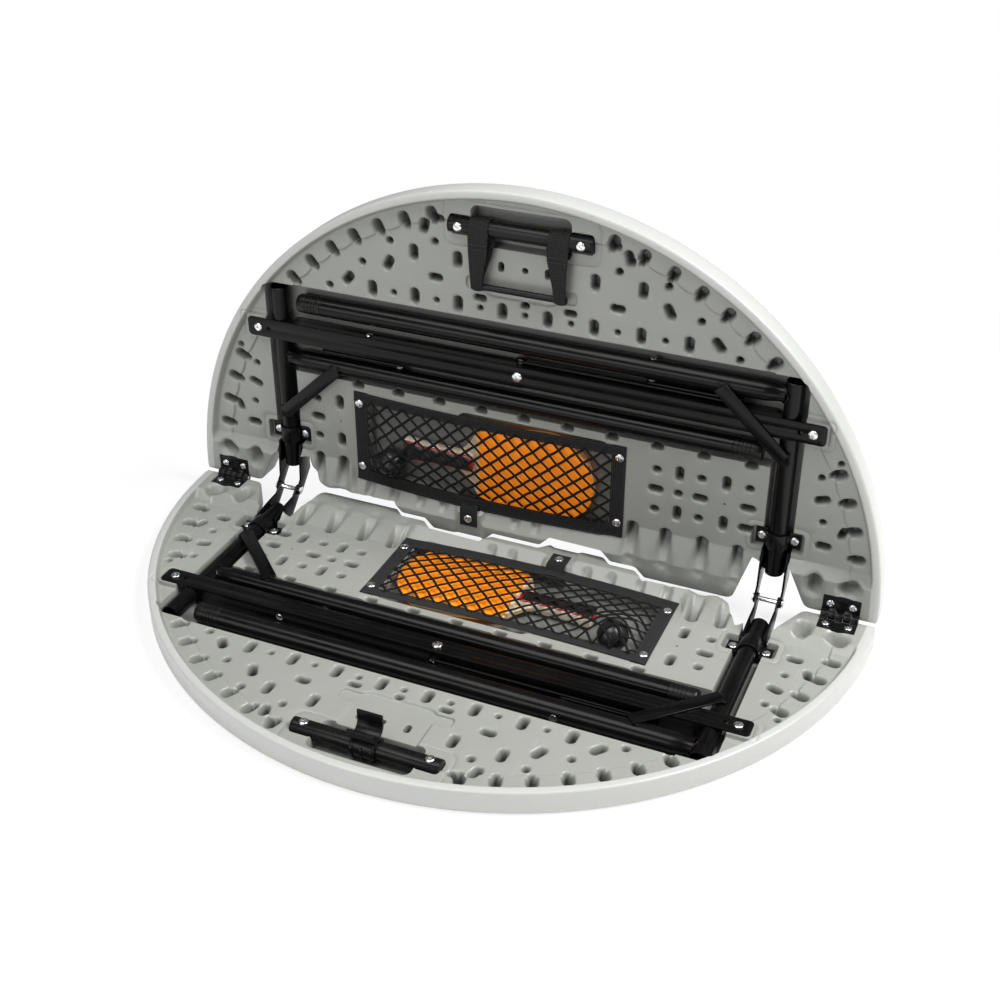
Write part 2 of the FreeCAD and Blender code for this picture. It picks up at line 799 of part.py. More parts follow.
def strap_loop(u):
    u0 = u - strap_width / 2
    u1 = u + strap_width / 2
    bar_hole = grip_diameter / 2 + 0.2
    rod_hole = rod_diameter / 2 + 0.15
    low = grip_place - strap_drop
    face = bar_hole - grip_depth
    shapes = [
        rod_u(u0, u1, grip_place, -grip_depth, bar_hole + strap_thick),
        rod_u(u0, u1, low, -rod_level(), rod_hole + strap_thick),
        slab(u0, u1, low, grip_place, face, face + strap_thick),
    ]
    shape = joined(shapes)
    shape = shape.cut(rod_u(u0 - 1, u1 + 1, grip_place, -grip_depth, bar_hole))
    return shape.cut(rod_u(u0 - 1, u1 + 1, low, -rod_level(), rod_hole))


def grip_rod():
    reach = strap_place + strap_width / 2 - rod_inset
    return rod_u(-reach, reach, grip_place - strap_drop, -rod_level(), rod_diameter / 2)


def snap_clip():
    u0 = -clip_width / 2
    u1 = clip_width / 2
    inner = grip_diameter / 2 + 0.12
    jaw = grip_diameter / 2 + 0.9
    facing = 2 * hinge_rise + grip_depth
    shapes = [
        rod_u(u0, u1, grip_place, -grip_depth, inner + clip_wall),
        rod_u(u0, u1, grip_place, facing, jaw + clip_wall),
    ]
    shape = joined(shapes)
    shape = shape.cut(rod_u(u0 - 1, u1 + 1, grip_place, -grip_depth, inner))
    shape = shape.cut(rod_u(u0 - 1, u1 + 1, grip_place, facing, jaw))
    shape = shape.cut(slab(u0 - 1, u1 + 1, grip_place - jaw, grip_place + jaw, facing, facing + 40))
    shape = shape.cut(slab(u0 - 1, u1 + 1, grip_place - 30, grip_place, facing + 5, facing + 40))
    shape = shape.cut(slab(u0 - 1, u1 + 1, grip_place, grip_place + 30, facing + 3, facing + 40))
    arm = grip_place - jaw - clip_wall + 0.6
    return joined([shape, slab(u0, u1, arm, arm + 2.6, facing + 1, facing + clip_rise)])


def screws():
    heads = [screw(u, v, h) for u, v, h in screw_places()]
    return heads + [crossbar_bolt(), crossbar_rivet()]


def pocket_screws():
    return [screw(u, v, h) for u, v, h in pocket_screw_places()]


def save_leg(half, name, place, leg_v, gusset_v, flip):
    turn = side if flip else (lambda shape: shape)
    save_one(f"{half}_{name}_rail", place(turn(rail_tube())))
    save_one(f"{half}_{name}_leg", place(turn(leg_tube(leg_v))))
    save_one(f"{half}_{name}_gusset", place(turn(gusset(leg_v, gusset_v))))
    save_one(f"{half}_{name}_foot", place(turn(foot_cap(leg_v))))
    save_one(f"{half}_{name}_leg_pin", place(turn(leg_pin(leg_v))))
    save_one(f"{half}_{name}_long_link", place(turn(long_link(leg_v))))
    save_one(f"{half}_{name}_short_link", place(turn(short_link(leg_v))))


def save_half(half, place, turned, tip, ball_v, own, gap):
    sides = (-1, 1)
    save_one(f"{half}_crossbar", place(crossbar()))
    save_one(f"{half}_brace_pin", place(brace_pin()))
    save(f"{half}_saddles", *[place(saddle(s * rail_place)) for s in sides])
    save(f"{half}_link_brackets", *[place(link_bracket(s * rail_place, gap)) for s in sides])
    save(f"{half}_hinge_leaves", *[place(hinge_leaf(s * leaf_place, own)) for s in sides])
    save_one(f"{half}_grip_bar", place(grip_bar()))
    save(f"{half}_screws", *[place(item) for item in screws()], *[turned(item) for item in pocket_screws()])
    save_one(f"{half}_mesh", turned(mesh(ball_v)))
    save_one(f"{half}_pocket_border", turned(pocket_border()))
    save_one(f"{half}_bat_blade", turned(bat_blade(tip)))
    save(f"{half}_bat_rubbers", *[turned(sheet) for sheet in bat_rubbers(tip)])
    save_one(f"{half}_bat_handle", turned(bat_handle(tip)))
    save_one(f"{half}_ball", turned(ball(ball_v)))
    save_leg(half, "left", place, inner_leg_place, inner_leg_place - gusset_rise, False)
    save_leg(half, "right", place, outer_leg_place, outer_leg_place - gusset_rise, True)


def save_all():
    half = moulding()
    save_one("lower_tabletop", on_lower(half))
    save_one("upper_tabletop", on_upper_turned(half))
    save_half("lower", on_lower, on_lower, bat_tip_lower, ball_lower, 0, link_gap_lower)
    save_half("upper", on_upper_mirrored, on_upper_turned, bat_tip_upper, ball_upper, 1, link_gap_upper)
    pins = [link_pin(s * rail_place) for s in (-1, 1)] + [hinge_pin(s * leaf_place) for s in (-1, 1)]
    save("fold_pins", *[on_lower(pin) for pin in pins])
    save("grip_strap", *[on_upper_mirrored(strap_loop(s * strap_place)) for s in (-1, 1)])
    save_one("grip_rod", on_upper_mirrored(grip_rod()))
    save_one("snap_clip", on_lower(snap_clip()))


save_all()
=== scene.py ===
import math

import bmesh
import bpy
import numpy as np
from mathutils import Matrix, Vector, geometry


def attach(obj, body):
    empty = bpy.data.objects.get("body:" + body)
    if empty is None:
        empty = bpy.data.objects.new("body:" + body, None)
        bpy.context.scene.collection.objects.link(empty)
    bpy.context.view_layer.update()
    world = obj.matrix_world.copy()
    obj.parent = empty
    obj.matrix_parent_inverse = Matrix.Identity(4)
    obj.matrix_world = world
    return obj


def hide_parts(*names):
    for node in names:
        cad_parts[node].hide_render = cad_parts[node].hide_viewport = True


bl_info = {
    "name": "Folding games table",
    "version": (1, 0, 0),
    "blender": (4, 5, 0),
    "location": "3D View > Sidebar > Games table",
    "description": "Dresses the frame of a folding round table with bats and balls in its pockets",
    "category": "Object",
}

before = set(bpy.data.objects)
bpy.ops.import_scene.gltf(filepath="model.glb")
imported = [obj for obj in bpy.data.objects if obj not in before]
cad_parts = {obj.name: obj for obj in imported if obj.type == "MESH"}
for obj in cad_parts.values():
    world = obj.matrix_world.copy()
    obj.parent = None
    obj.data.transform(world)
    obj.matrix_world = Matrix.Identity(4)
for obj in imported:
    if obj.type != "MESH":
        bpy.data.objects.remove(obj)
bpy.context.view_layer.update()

# Sizes are in millimetres. A box is (u0, u1, v0, v1).
MM = 0.001
RADIUS = 457.0
THICK = 31.0
HINGE_RISE = 2.0
FOLD_Y = (RADIUS - THICK - HINGE_RISE) / 2
RAIL = 327.5
RAIL_DEPTH = 15.0
POCKET = (-119.0, 209.0, 50.0, 150.0)
POCKET_OUTER = (-138.0, 228.0, 32.0, 161.0)
BOW_NEAR = -8.0
BOW_FAR = 5.0
TAB_PLACE = 66.0
FOLD_LIP = 1.2
BALL = 19.0
BALL_DEPTH = -7.0
BAR_ROW = 407.0
BAR_DEPTH = -11.0
RIM_PARTS = 330
HALVES = ("lower", "upper")


# Places: u along the fold, v away from it, h above the lip of each half
def lower_place(u, v, h):
    return u, FOLD_Y - v, THICK + h


def upper_place(u, v, h):
    return -u, FOLD_Y + HINGE_RISE - h, THICK + HINGE_RISE + v


def upper_mirror(u, v, h):
    return u, FOLD_Y + HINGE_RISE - h, THICK + HINGE_RISE + v


PLACES = {"lower": lower_place, "upper": upper_place}
HARDWARE = {"lower": lower_place, "upper": upper_mirror}


# Mesh helpers
def placed(points, place):
    flat = np.array(points, float).reshape(-1, 3)
    x, y, z = place(flat[:, 0], flat[:, 1], flat[:, 2])
    return np.stack([x, y, z], 1) * MM


def linked(name, mesh):
    piece = bpy.data.objects.new(name, mesh)
    bpy.context.scene.collection.objects.link(piece)
    return piece


def mesh_object(name, points, faces, place=None, edges=()):
    world = placed(points, place) if place else np.array(points, float) * MM
    mesh = bpy.data.meshes.new(name)
    mesh.from_pydata([tuple(p) for p in world], edges, [tuple(f) for f in faces])
    mesh.validate()
    return linked(name, mesh)


def face_outwards(piece):
    work = bmesh.new()
    work.from_mesh(piece.data)
    bmesh.ops.recalc_face_normals(work, faces=work.faces)
    work.to_mesh(piece.data)
    work.free()


def smooth(piece, angle=32.0):
    piece.data.shade_smooth()
    piece.data.set_sharp_from_angle(angle=math.radians(angle))


def dress(piece, material):
    piece.data.materials.clear()
    piece.data.materials.append(material)


def finish_piece(piece, body, material, nodes=(), angle=32.0):
    smooth(piece, angle)
    if material:
        dress(piece, material)
    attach(piece, body)
    if nodes:
        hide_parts(*nodes)
    return piece


def baked(piece):
    view = bpy.context.evaluated_depsgraph_get()
    view.update()
    mesh = bpy.data.meshes.new_from_object(piece.evaluated_get(view))
    old = piece.data
    piece.modifiers.clear()
    piece.data = mesh
    bpy.data.meshes.remove(old)
    return piece


def mark(piece, name, values):
    values = np.array(values, np.float32)
    kind, field = ("FLOAT", "value") if values.ndim == 1 else ("FLOAT_VECTOR", "vector")
    layer = piece.data.attributes.new(name, kind, "POINT")
    layer.data.foreach_set(field, values.reshape(-1))


def shell(name, part, place, body, slot, material, nodes=(), angle=40.0, **marks):
    piece = mesh_object(name, *part, place)
    face_outwards(piece)
    for label, values in marks.items():
        mark(piece, label, values)
    return finish_piece(piece, body, material, nodes, angle)


def softened(node, body, material, width=0.5):
    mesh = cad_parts[node].data.copy()
    mesh.name = node + "_soft"
    work = bmesh.new()
    work.from_mesh(mesh)
    bmesh.ops.remove_doubles(work, verts=work.verts, dist=2e-6)
    bmesh.ops.dissolve_limit(work, angle_limit=math.radians(1.0), verts=work.verts, edges=work.edges)
    bmesh.ops.dissolve_degenerate(work, dist=1e-6, edges=work.edges)
    bend = math.radians(35)
    sharp = [e for e in work.edges if len(e.link_faces) == 2 and e.calc_face_angle(0.0) > bend]
    for edge in work.edges:
        edge.smooth = True
    if sharp:
        bmesh.ops.bevel(
            work, geom=sharp, offset=width * MM, offset_type="OFFSET", segments=2,
            profile=0.5, affect="EDGES", clamp_overlap=True,
        )
    bmesh.ops.triangulate(work, faces=[f for f in work.faces if len(f.verts) > 4])
    work.to_mesh(mesh)
    work.free()
    mesh.materials.clear()
    return finish_piece(linked(mesh.name, mesh), body, material, (node,), 40.0)


# Finishes
def add(tree, kind, inputs=None, **settings):
    node = tree.nodes.new(kind)
    for key, value in settings.items():
        setattr(node, key, value)
    for key, value in (inputs or {}).items():
        socket = node.inputs[key]
        if isinstance(value, bpy.types.NodeSocket):
            tree.links.new(value, socket)
        else:
            socket.default_value = value
    return node


def new_finish(name, **shader):
    material = bpy.data.materials.new(name)
    material.use_nodes = True
    tree = material.node_tree
    surface = tree.nodes["Principled BSDF"]
    for key, value in shader.items():
        surface.inputs[key.replace("_", " ")].default_value = value
    return material, tree, surface


def here(tree):
    return add(tree, "ShaderNodeTexCoord").outputs["Object"]


def noise(tree, place, scale, detail=3.0, rough=0.55, stretch=None):
    if stretch:
        place = add(tree, "ShaderNodeMapping", {"Vector": place, "Scale": stretch}).outputs["Vector"]
    settings = {"Vector": place, "Scale": scale, "Detail": detail, "Roughness": rough}
    return add(tree, "ShaderNodeTexNoise", settings).outputs["Fac"]


def spread(tree, value, low, high, start=0.3, end=0.7):
    settings = {"Value": value, "From Min": start, "From Max": end, "To Min": low, "To Max": high}
    return add(tree, "ShaderNodeMapRange", settings).outputs["Result"]


def blend_colour(tree, factor, first, second):
    return add(tree, "ShaderNodeMix", {0: factor, 6: first, 7: second}, data_type="RGBA").outputs[2]


def sums(tree, operation, first, second=0.0):
    return add(tree, "ShaderNodeMath", {0: first, 1: second}, operation=operation).outputs[0]


def cloudy(tree, cloud, first, second):
    return blend_colour(tree, spread(tree, cloud, 0.0, 1.0), first, second)


def finished(made, colour, rough, height, distance, strength):
    material, tree, surface = made
    settings = {"Height": height, "Distance": distance, "Strength": strength}
    bump = add(tree, "ShaderNodeBump", settings).outputs["Normal"]
    for socket, label in ((colour, "Base Color"), (rough, "Roughness"), (bump, "Normal")):
        tree.links.new(socket, surface.inputs[label])
    return material


def mottled(name, cloud, first, second, rough, grain, distance, strength, **shader):
    made = new_finish(name, **shader)
    tree = made[1]
    place = here(tree)
    tone = noise(tree, place, *cloud)
    colour = cloudy(tree, tone, first, second)
    return finished(made, colour, spread(tree, tone, *rough), noise(tree, place, *grain), distance, strength)


def shaded(colour, share):
    return [c * share for c in colour[:3]] + [1]


def read(tree, name):
    return add(tree, "ShaderNodeAttribute", attribute_name=name)


def table_plastic(shade, pale):
    made = new_finish("table_plastic", IOR=1.49)
    tree = made[1]
    place = here(tree)
    cloud = noise(tree, place, 7.0, 4.0)
    body = cloudy(tree, cloud, shade, shaded(shade, 1.07))
    # Painted light: the rim and playing side are paler than the underside, partly a paler plastic and partly
    # light painted on
    rim = cloudy(tree, cloud, pale, shaded(pale, 1.03))
    colour = blend_colour(tree, read(tree, "pale").outputs["Fac"], body, rim)
    # Painted shade: the colour darkens towards near-black in the deep pits and wells, where shade falls
    deep = spread(tree, read(tree, "deep").outputs["Fac"], 0.0, 0.86, 0.0, 1.0)
    colour = blend_colour(tree, deep, colour, (0.045, 0.047, 0.042, 1))
    scuff = noise(tree, place, 60.0, 6.0, 0.7, (1.0, 0.15, 1.0))
    colour = blend_colour(tree, spread(tree, scuff, 0.0, 0.10, 0.62, 0.72), colour, (0.75, 0.75, 0.72, 1))
    grain = sums(tree, "ADD", noise(tree, place, 900.0, 2.0), noise(tree, place, 260.0, 2.0))
    return finished(made, colour, spread(tree, cloud, 0.28, 0.38), grain, 0.00035, 0.35)


def powder_coat():
    made = new_finish("black_powder_coat", IOR=1.5, Specular_IOR_Level=0.17)
    tree = made[1]
    place = here(tree)
    wear = noise(tree, place, 24.0, 6.0, 0.7)
    worn = spread(tree, wear, 0.0, 1.0, 0.35, 0.75)
    colour = blend_colour(tree, worn, (0.0022, 0.0022, 0.0024, 1), (0.0055, 0.0055, 0.0058, 1))
    dust = spread(tree, noise(tree, place, 420.0, 3.0, 0.8), 0.0, 0.10, 0.68, 0.8)
    colour = blend_colour(tree, dust, colour, (0.05, 0.05, 0.049, 1))
    peel = sums(tree, "ADD", noise(tree, place, 1100.0, 2.0), noise(tree, place, 340.0, 2.0))
    return finished(made, colour, spread(tree, wear, 0.16, 0.28), peel, 0.00012, 0.2)


def zinc_plate(name="zinc_plate", bright=1.0):
    dull, clean = (shaded(colour, bright) for colour in ((0.66, 0.67, 0.68), (0.85, 0.86, 0.87)))
    return mottled(name, (180.0, 4.0), dull, clean, (0.16, 0.34), (1500.0, 3.0), 0.0001, 0.5, Metallic=1.0)


def black_plastic():
    return mottled(
        "black_moulded_plastic", (40.0, 5.0, 0.65), (0.0034, 0.0034, 0.0036, 1), (0.008, 0.008, 0.0082, 1),
        (0.22, 0.34), (1300.0, 3.0), 0.0002, 0.6, IOR=1.48, Specular_IOR_Level=0.22)


def net_cord():
    made = new_finish("black_net_cord", IOR=1.45, Specular_IOR_Level=0.18)
    tree = made[1]
    lengthwise = sums(tree, "MULTIPLY", read(tree, "strand_length").outputs["Fac"], 2600.0)
    around = sums(tree, "MULTIPLY", read(tree, "strand_turn").outputs["Fac"], 4.0 * math.pi)
    plies = sums(tree, "SINE", sums(tree, "ADD", lengthwise, around))
    fuzz = noise(tree, here(tree), 2600.0, 3.0, 0.7)
    # Painted highlight and shade: the cord is lighter on the crowns of its plies and darker in the grooves
    # between them
    shade = spread(tree, plies, 0.0, 1.0, -1.0, 1.0)
    colour = blend_colour(tree, shade, (0.0035, 0.0035, 0.0038, 1), (0.013, 0.013, 0.0135, 1))
    height = sums(tree, "ADD", sums(tree, "MULTIPLY", plies, 0.6), fuzz)
    return finished(made, colour, spread(tree, fuzz, 0.60, 0.82), height, 0.0004, 0.8)


def webbing():
    made = new_finish(
        "black_webbing", IOR=1.45, Specular_IOR_Level=0.2, Sheen_Weight=0.06, Sheen_Roughness=0.5)
    tree = made[1]
    sheet = add(tree, "ShaderNodeUVMap", uv_map="band").outputs["UV"]
    parts = add(tree, "ShaderNodeSeparateXYZ", {"Vector": sheet})
    ribs = []
    for operation in ("ADD", "SUBTRACT"):
        slant = sums(tree, operation, parts.outputs["X"], parts.outputs["Y"])
        ribs.append(sums(tree, "SINE", sums(tree, "MULTIPLY", slant, math.pi / 0.0021)))
    weave = sums(tree, "MULTIPLY", *ribs)
    fuzz = noise(tree, here(tree), 1900.0, 3.0, 0.7)
    # Painted highlight and shade: the webbing is lighter on the crowns of its threads and darker in the gaps of
    # the weave
    shade = spread(tree, weave, 0.0, 1.0, -0.2, 0.9)
    colour = blend_colour(tree, shade, (0.0035, 0.0035, 0.0037, 1), (0.040, 0.040, 0.041, 1))
    height = sums(tree, "ADD", sums(tree, "MULTIPLY", weave, 0.8), fuzz)
    return finished(made, colour, spread(tree, fuzz, 0.66, 0.9), height, 0.0005, 0.9)


def thread():
    fuzz = (3000.0, 3.0, 0.7)
    return mottled(
        "stitch_thread", fuzz, (0.02, 0.02, 0.02, 1), (0.06, 0.06, 0.06, 1),
        (0.5, 0.75), fuzz, 0.0002, 0.6, IOR=1.45)


def bat_rubber(colour):
    # Painted light: the rubber glows a little, brightening it under the net
    made = new_finish("orange_bat_rubber", IOR=1.5, Emission_Strength=0.26)
    _, tree, surface = made
    place = here(tree)
    cloud = noise(tree, place, 30.0, 5.0, 0.6)
    tone = cloudy(tree, cloud, shaded(colour, 0.86), colour)
    tone = blend_colour(tree, read(tree, "sponge").outputs["Fac"], tone, (0.75, 0.42, 0.16, 1))
    # Painted light: the rubber's own colour is fed to its emission, so it glows
    tree.links.new(tone, surface.inputs["Emission Color"])
    pores = add(tree, "ShaderNodeTexVoronoi", {"Vector": place, "Scale": 620.0}).outputs["Distance"]
    height = sums(tree, "ADD", sums(tree, "MULTIPLY", pores, 0.6), noise(tree, place, 1500.0, 2.0))
    return finished(made, tone, spread(tree, cloud, 0.42, 0.60), height, 0.00025, 0.45)


def plywood():
    made = new_finish("bat_plywood", IOR=1.48)
    tree = made[1]
    depth = sums(tree, "MULTIPLY", read(tree, "ply").outputs["Fac"], math.pi * 5.0)
    layers = spread(tree, sums(tree, "SINE", depth), 0.0, 0.55, -0.3, 0.4)
    grain = noise(tree, here(tree), 90.0, 6.0, 0.65, (0.12, 1.6, 1.6))
    light = cloudy(tree, grain, (0.72, 0.55, 0.34, 1), (0.86, 0.72, 0.50, 1))
    colour = blend_colour(tree, layers, light, (0.42, 0.26, 0.13, 1))
    return finished(made, colour, spread(tree, grain, 0.42, 0.60), grain, 0.0002, 0.5)


def bat_lacquer():
    made = new_finish("striped_handle_lacquer", IOR=1.5, Coat_Weight=0.35, Coat_Roughness=0.12)
    tree = made[1]
    parts = add(tree, "ShaderNodeSeparateXYZ", {"Vector": read(tree, "stripe").outputs["Vector"]})
    side, front = parts.outputs["X"], parts.outputs["Y"]
    red, black, cream = (0.50, 0.012, 0.014, 1), (0.008, 0.008, 0.0085, 1), (0.80, 0.72, 0.56, 1)
    stripe = blend_colour(tree, spread(tree, front, 0.0, 1.0, 0.0052, 0.0056), red, black)
    stripe = blend_colour(tree, spread(tree, side, 1.0, 0.0, 0.0077, 0.0080), stripe, red)
    stripe = blend_colour(tree, spread(tree, side, 1.0, 0.0, 0.0063, 0.0066), stripe, cream)
    grain = noise(tree, here(tree), 120.0, 6.0, 0.65, (0.15, 1.6, 1.6))
    worn = blend_colour(tree, spread(tree, grain, 0.0, 0.07, 0.5, 0.8), stripe, (0.35, 0.26, 0.18, 1))
    return finished(made, worn, spread(tree, grain, 0.30, 0.46), grain, 0.00025, 0.5)


def ball_plastic():
    return mottled(
        "black_ball_plastic", (60.0, 5.0, 0.6), (0.006, 0.006, 0.006, 1), (0.014, 0.014, 0.014, 1),
        (0.24, 0.36), (1800.0, 2.0), 0.0001, 0.5, IOR=1.5)


# Moulded table halves. Distances from outlines are negative inside.
def bow(u):
    x = (u - (POCKET[0] + POCKET[1]) / 2 - 6) / ((POCKET[1] - POCKET[0]) / 2 + 12)
    return np.maximum(0.0, 1 - x * x)


def to_slot(u, v, cu, cv, turn, length, size):
    a = math.radians(turn)
    x = (u - cu) * math.cos(a) + (v - cv) * math.sin(a)
    y = (v - cv) * math.cos(a) - (u - cu) * math.sin(a)
    return np.hypot(x - np.clip(x, -length / 2, length / 2), y) - size


def slot_loop(cu, cv, turn, length, size, count):
    a = math.radians(turn)
    points = []
    for k in range(count):
        t = 2 * math.pi * (k + 0.5) / count
        x = size * math.cos(t) + math.copysign(length / 2, math.cos(t))
        y = size * math.sin(t)
        points.append((cu + x * math.cos(a) - y * math.sin(a), cv + x * math.sin(a) + y * math.cos(a)))
    return points


def to_box(u, v, box, corner):
    u0, u1, v0, v1 = box
    x = np.abs(u - (u0 + u1) / 2) - (u1 - u0) / 2 + corner
    y = np.abs(v - (v0 + v1) / 2) - (v1 - v0) / 2 + corner
    return np.hypot(np.maximum(x, 0), np.maximum(y, 0)) + np.minimum(np.maximum(x, y), 0) - corner


def box_loop(box, corner, grow):
    u0, u1, v0, v1 = box
    r = max(corner + grow, 0.4)
    right, left, far, near = u1 + grow - r, u0 - grow + r, v1 + grow - r, v0 - grow + r
    steps = 3 if r < 3 else 6
    points = []
    for cu, cv, start in ((right, far, 0), (left, far, 90), (left, near, 180), (right, near, 270)):
        for k in range(steps + 1):
            a = math.radians(start + 90 * k / steps)
            points.append((cu + r * math.cos(a), cv + r * math.sin(a)))
    return subdivided(points, every(9.0))


def subdivided(points, parts_for, closed=True):
    """Split each side of an outline into as many parts as parts_for gives for its length"""
    out = []
    for a, b in zip(points, points[1:] + points[:closed]):
        parts = parts_for(math.dist(a, b))
        out += [(a[0] + (b[0] - a[0]) * i / parts, a[1] + (b[1] - a[1]) * i / parts) for i in range(parts)]
    return out


def every(step):
    return lambda length: max(1, math.ceil(length / step))


def circle(count):
    turns = [2 * math.pi * k / count for k in range(count)]
    return [(math.cos(a), math.sin(a)) for a in turns]


def chain(first, count, closed=False):
    return [(first + k, first + (k + 1) % count) for k in range(count if closed else count - 1)]


def outward(line):
    before = line - np.roll(line, 1, 0)
    after = np.roll(line, -1, 0) - line
    along = sum(step / np.maximum(np.linalg.norm(step, axis=1), 1e-9)[:, None] for step in (before, after))
    along /= np.maximum(np.linalg.norm(along, axis=1), 1e-9)[:, None]
    return np.stack([along[:, 1], -along[:, 0]], 1)


def ease(x):
    x = np.clip(x, 0, 1)
    return x * x * (3 - 2 * x)


# Dimples: kind, place, turn in degrees, length between the round ends, radius
BESIDE = {-289: "HHR", -261: "VPV", -231: "RHR", -204: "VRV", -176: "RHR", 250: "VPV", 283: "RHR"}
MARKS = {
    "H": ("slot", 0, 8.5, 5.8),
    "V": ("slot", 90, 9.5, 5.8),
    "R": ("slot", 0, 1.5, 5.2),
    "P": ("pin", 0, 0.0, 1.5),
}
KEYHOLE_RING = 429.0
KEYHOLE_ROWS = [*range(15, 55, 5), *range(65, 85, 5)]
KEYHOLE_TAIL = 9.0
TAIL_SIZE = 4.4
HANDLE_SLOTS = [
    (-118, 335, 8, 5.6), (-61, 319, 8, 4.6), (-5, 319, 3, 4.6), (52, 319, 8, 4.6), (109, 335, 8, 5.6),
]
ROUND = [(-118, 380), (109, 380), (-216, 337), (206, 339), (-263, 299), (253, 301), (-176, 372), (168, 372)]
TURNED = [(-238, 312, 50), (-179, 342, 62), (227, 314, -52), (171, 343, -64), (-130, 398, 75), (122, 398, -75)]
OUTBOARD = [
    ("slot", 381, 82, 0, 8.0, 6.0), ("slot", 377, 114, 0, 0.0, 4.6), ("slot", 373, 143, 20, 8.0, 6.0),
    ("slot", 369, 172, 0, 0.0, 4.6), ("slot", 401, 104, 70, 7.0, 5.4), ("slot", 389, 196, 0, 0.0, 4.2),
    ("big", 419, 38, 20, 8.0, 12.0), ("big", 378, 34, 90, 8.0, 12.5),
]


def dimple_places():
    places = []
    for k in KEYHOLE_ROWS:
        for s in (-1, 1):
            a = math.radians(s * k)
            u, v = KEYHOLE_RING * math.sin(a), KEYHOLE_RING * math.cos(a)
            places.append(("keyhole", u, v, 90 - s * k, 5.0, 7.4))
    for u, rows in BESIDE.items():
        for letter, v in zip(rows, (83, 111, 138)):
            kind, turn, length, size = MARKS[letter]
            places.append((kind, u, v, turn, length, size))
    places += [("slot", 56.6 * k - 5, 169, 0, 7.5, 4.8) for k in range(-5, 5)]
    places += [("slot", -204 + 56.9 * k, 306, 90, 9.0, 6.4) for k in range(8)]
    places += [("slot", -176 + 56.9 * k, 306, 0, 0.0, 4.0) for k in range(7)]
    places += [("slot", u, v, 0, length, size) for u, v, length, size in HANDLE_SLOTS]
    places += [("slot", u, 362, 90, 9.0, 6.2) for u in (-147, -90, 80, 137)]
    places += [("slot", u, v, 0, 0.0, 5.0) for u, v in ROUND]
    places += [("slot", u, v, turn, 9.0, 6.2) for u, v, turn in TURNED]
    for s in (-1, 1):
        for kind, u, v, turn, length, size in OUTBOARD:
            places.append((kind, s * u, v, turn if turn == 90 else s * turn, length, size))
    for u in (-282, -238, -192, -150, 249, 284):
        places.append(("tall", u, 33, 90, 36.0, 8.0 if abs(u) < 270 else 7.0))
    for u, turn, length in ((-32, 90, 5.0), (-4, 0, 0.0), (26, 90, 5.0)):
        places.append(("slot", u, 361, turn, length, 4.6))
    places += [("slot", u, 410, 0, 7.0, 5.4) for u in (-112, 104)]
    places += [("soft", u, 25, 90, 12.0, 8.5) for u in (-24, 4, 104, 136, 174, 209)]
    return places


def keyhole_tail(u, v):
    a = math.atan2(u, v)
    return u - KEYHOLE_TAIL * math.sin(a), v - KEYHOLE_TAIL * math.cos(a)


DIMPLES = dimple_places()
DEPTHS = {"keyhole": 15.0, "slot": 15.0, "big": 20.0, "tall": 18.0, "soft": 5.0, "pin": 5.0}

# Boxes sunk into the underside: box, corner radius, level, width of the sloping wall
WELLS = [
    ((-345.6, 345.6, 172.5, 292.5), 9.0, -27.2, 2.0),
    ((-345.6, -310.2, 41.0, 200.0), 8.0, -27.2, 2.0),
    ((310.2, 345.6, 41.0, 200.0), 8.0, -27.2, 2.0),
    ((POCKET[0] + 0.2, 84.8, 27.3, 161.8), 14.0, -25.7, 2.4),
    ((73.0, POCKET[1] - 0.2, 42.3, 151.8), 8.0, -25.7, 2.4),
    ((-61.8, 61.8, 383.2, 433.6), 9.0, -25.7, 3.0),
]
# Shallower recesses for clamps, link brackets, the grip rod and the bar's ends, in the same order of values
SHELVES = [
    ((-359.3, -295.7, 62.7, 92.3), 5.0, -19.8, 1.6),
    ((295.7, 359.3, 62.7, 92.3), 5.0, -19.8, 1.6),
    ((-436.0, -391.0, -9.0, 26.1), 2.0, -6.4, 0.8),
    ((391.0, 436.0, -9.0, 26.1), 2.0, -6.4, 0.8),
    ((-69.8, 69.8, 328.2, 345.8), 6.0, -14.4, 1.6),
    ((-50.0, 50.0, 322.0, 398.0), 16.0, -14.4, 3.6),
    ((-88.8, -60.0, 394.2, 419.8), 5.0, -16.8, 1.6),
    ((60.0, 88.8, 394.2, 419.8), 5.0, -16.8, 1.6),
]
# Raised lands under the crossbar's tabs and the pocket's tab
PADS = [
    ((-373.5, -341.0, 214.4, 245.6), 4.0, -4.0, 1.4),
    ((341.0, 373.5, 214.4, 245.6), 4.0, -4.0, 1.4),
    ((44.0, 88.0, -40.0, 27.5), 7.0, -2.5, 7.0),
]
# Fine grooves round the fittings: box, corner radius
GROOVES = [
    ((-379.0, -343.0, 209.0, 251.0), 6.0),
    ((343.0, 379.0, 209.0, 251.0), 6.0),
    ((-365.0, -290.0, 57.0, 98.0), 8.0),
    ((290.0, 365.0, 57.0, 98.0), 8.0),
    ((-96.0, 96.0, 380.0, 437.5), 12.0),
]
# Steps of the underside, as radius, width of the slope and drop
RIM_EDGE = 448.0
RIM_RUN = 5.2
PANEL_DROP = 9.0
STEP_EDGE = 421.5
STEP_RUN = 2.2
STEP_DROP = 2.5
BEVEL = 1.3
BEVEL_REACH = 2.3
FLOOR = -27.4


def lower_towards(h, d, level, draft):
    s = ease(-d / draft)
    return h * (1 - s) + np.minimum(h, level) * s


def scallop_radius(degrees):
    row = np.abs(degrees)
    arc = STEP_EDGE + 5.5 * (1 - np.abs(2 * (row / 5 - np.round(row / 5)))) ** 2
    return np.where(((row > 12.5) & (row < 52.5)) | ((row > 62.5) & (row < 82.5)), arc, STEP_EDGE)


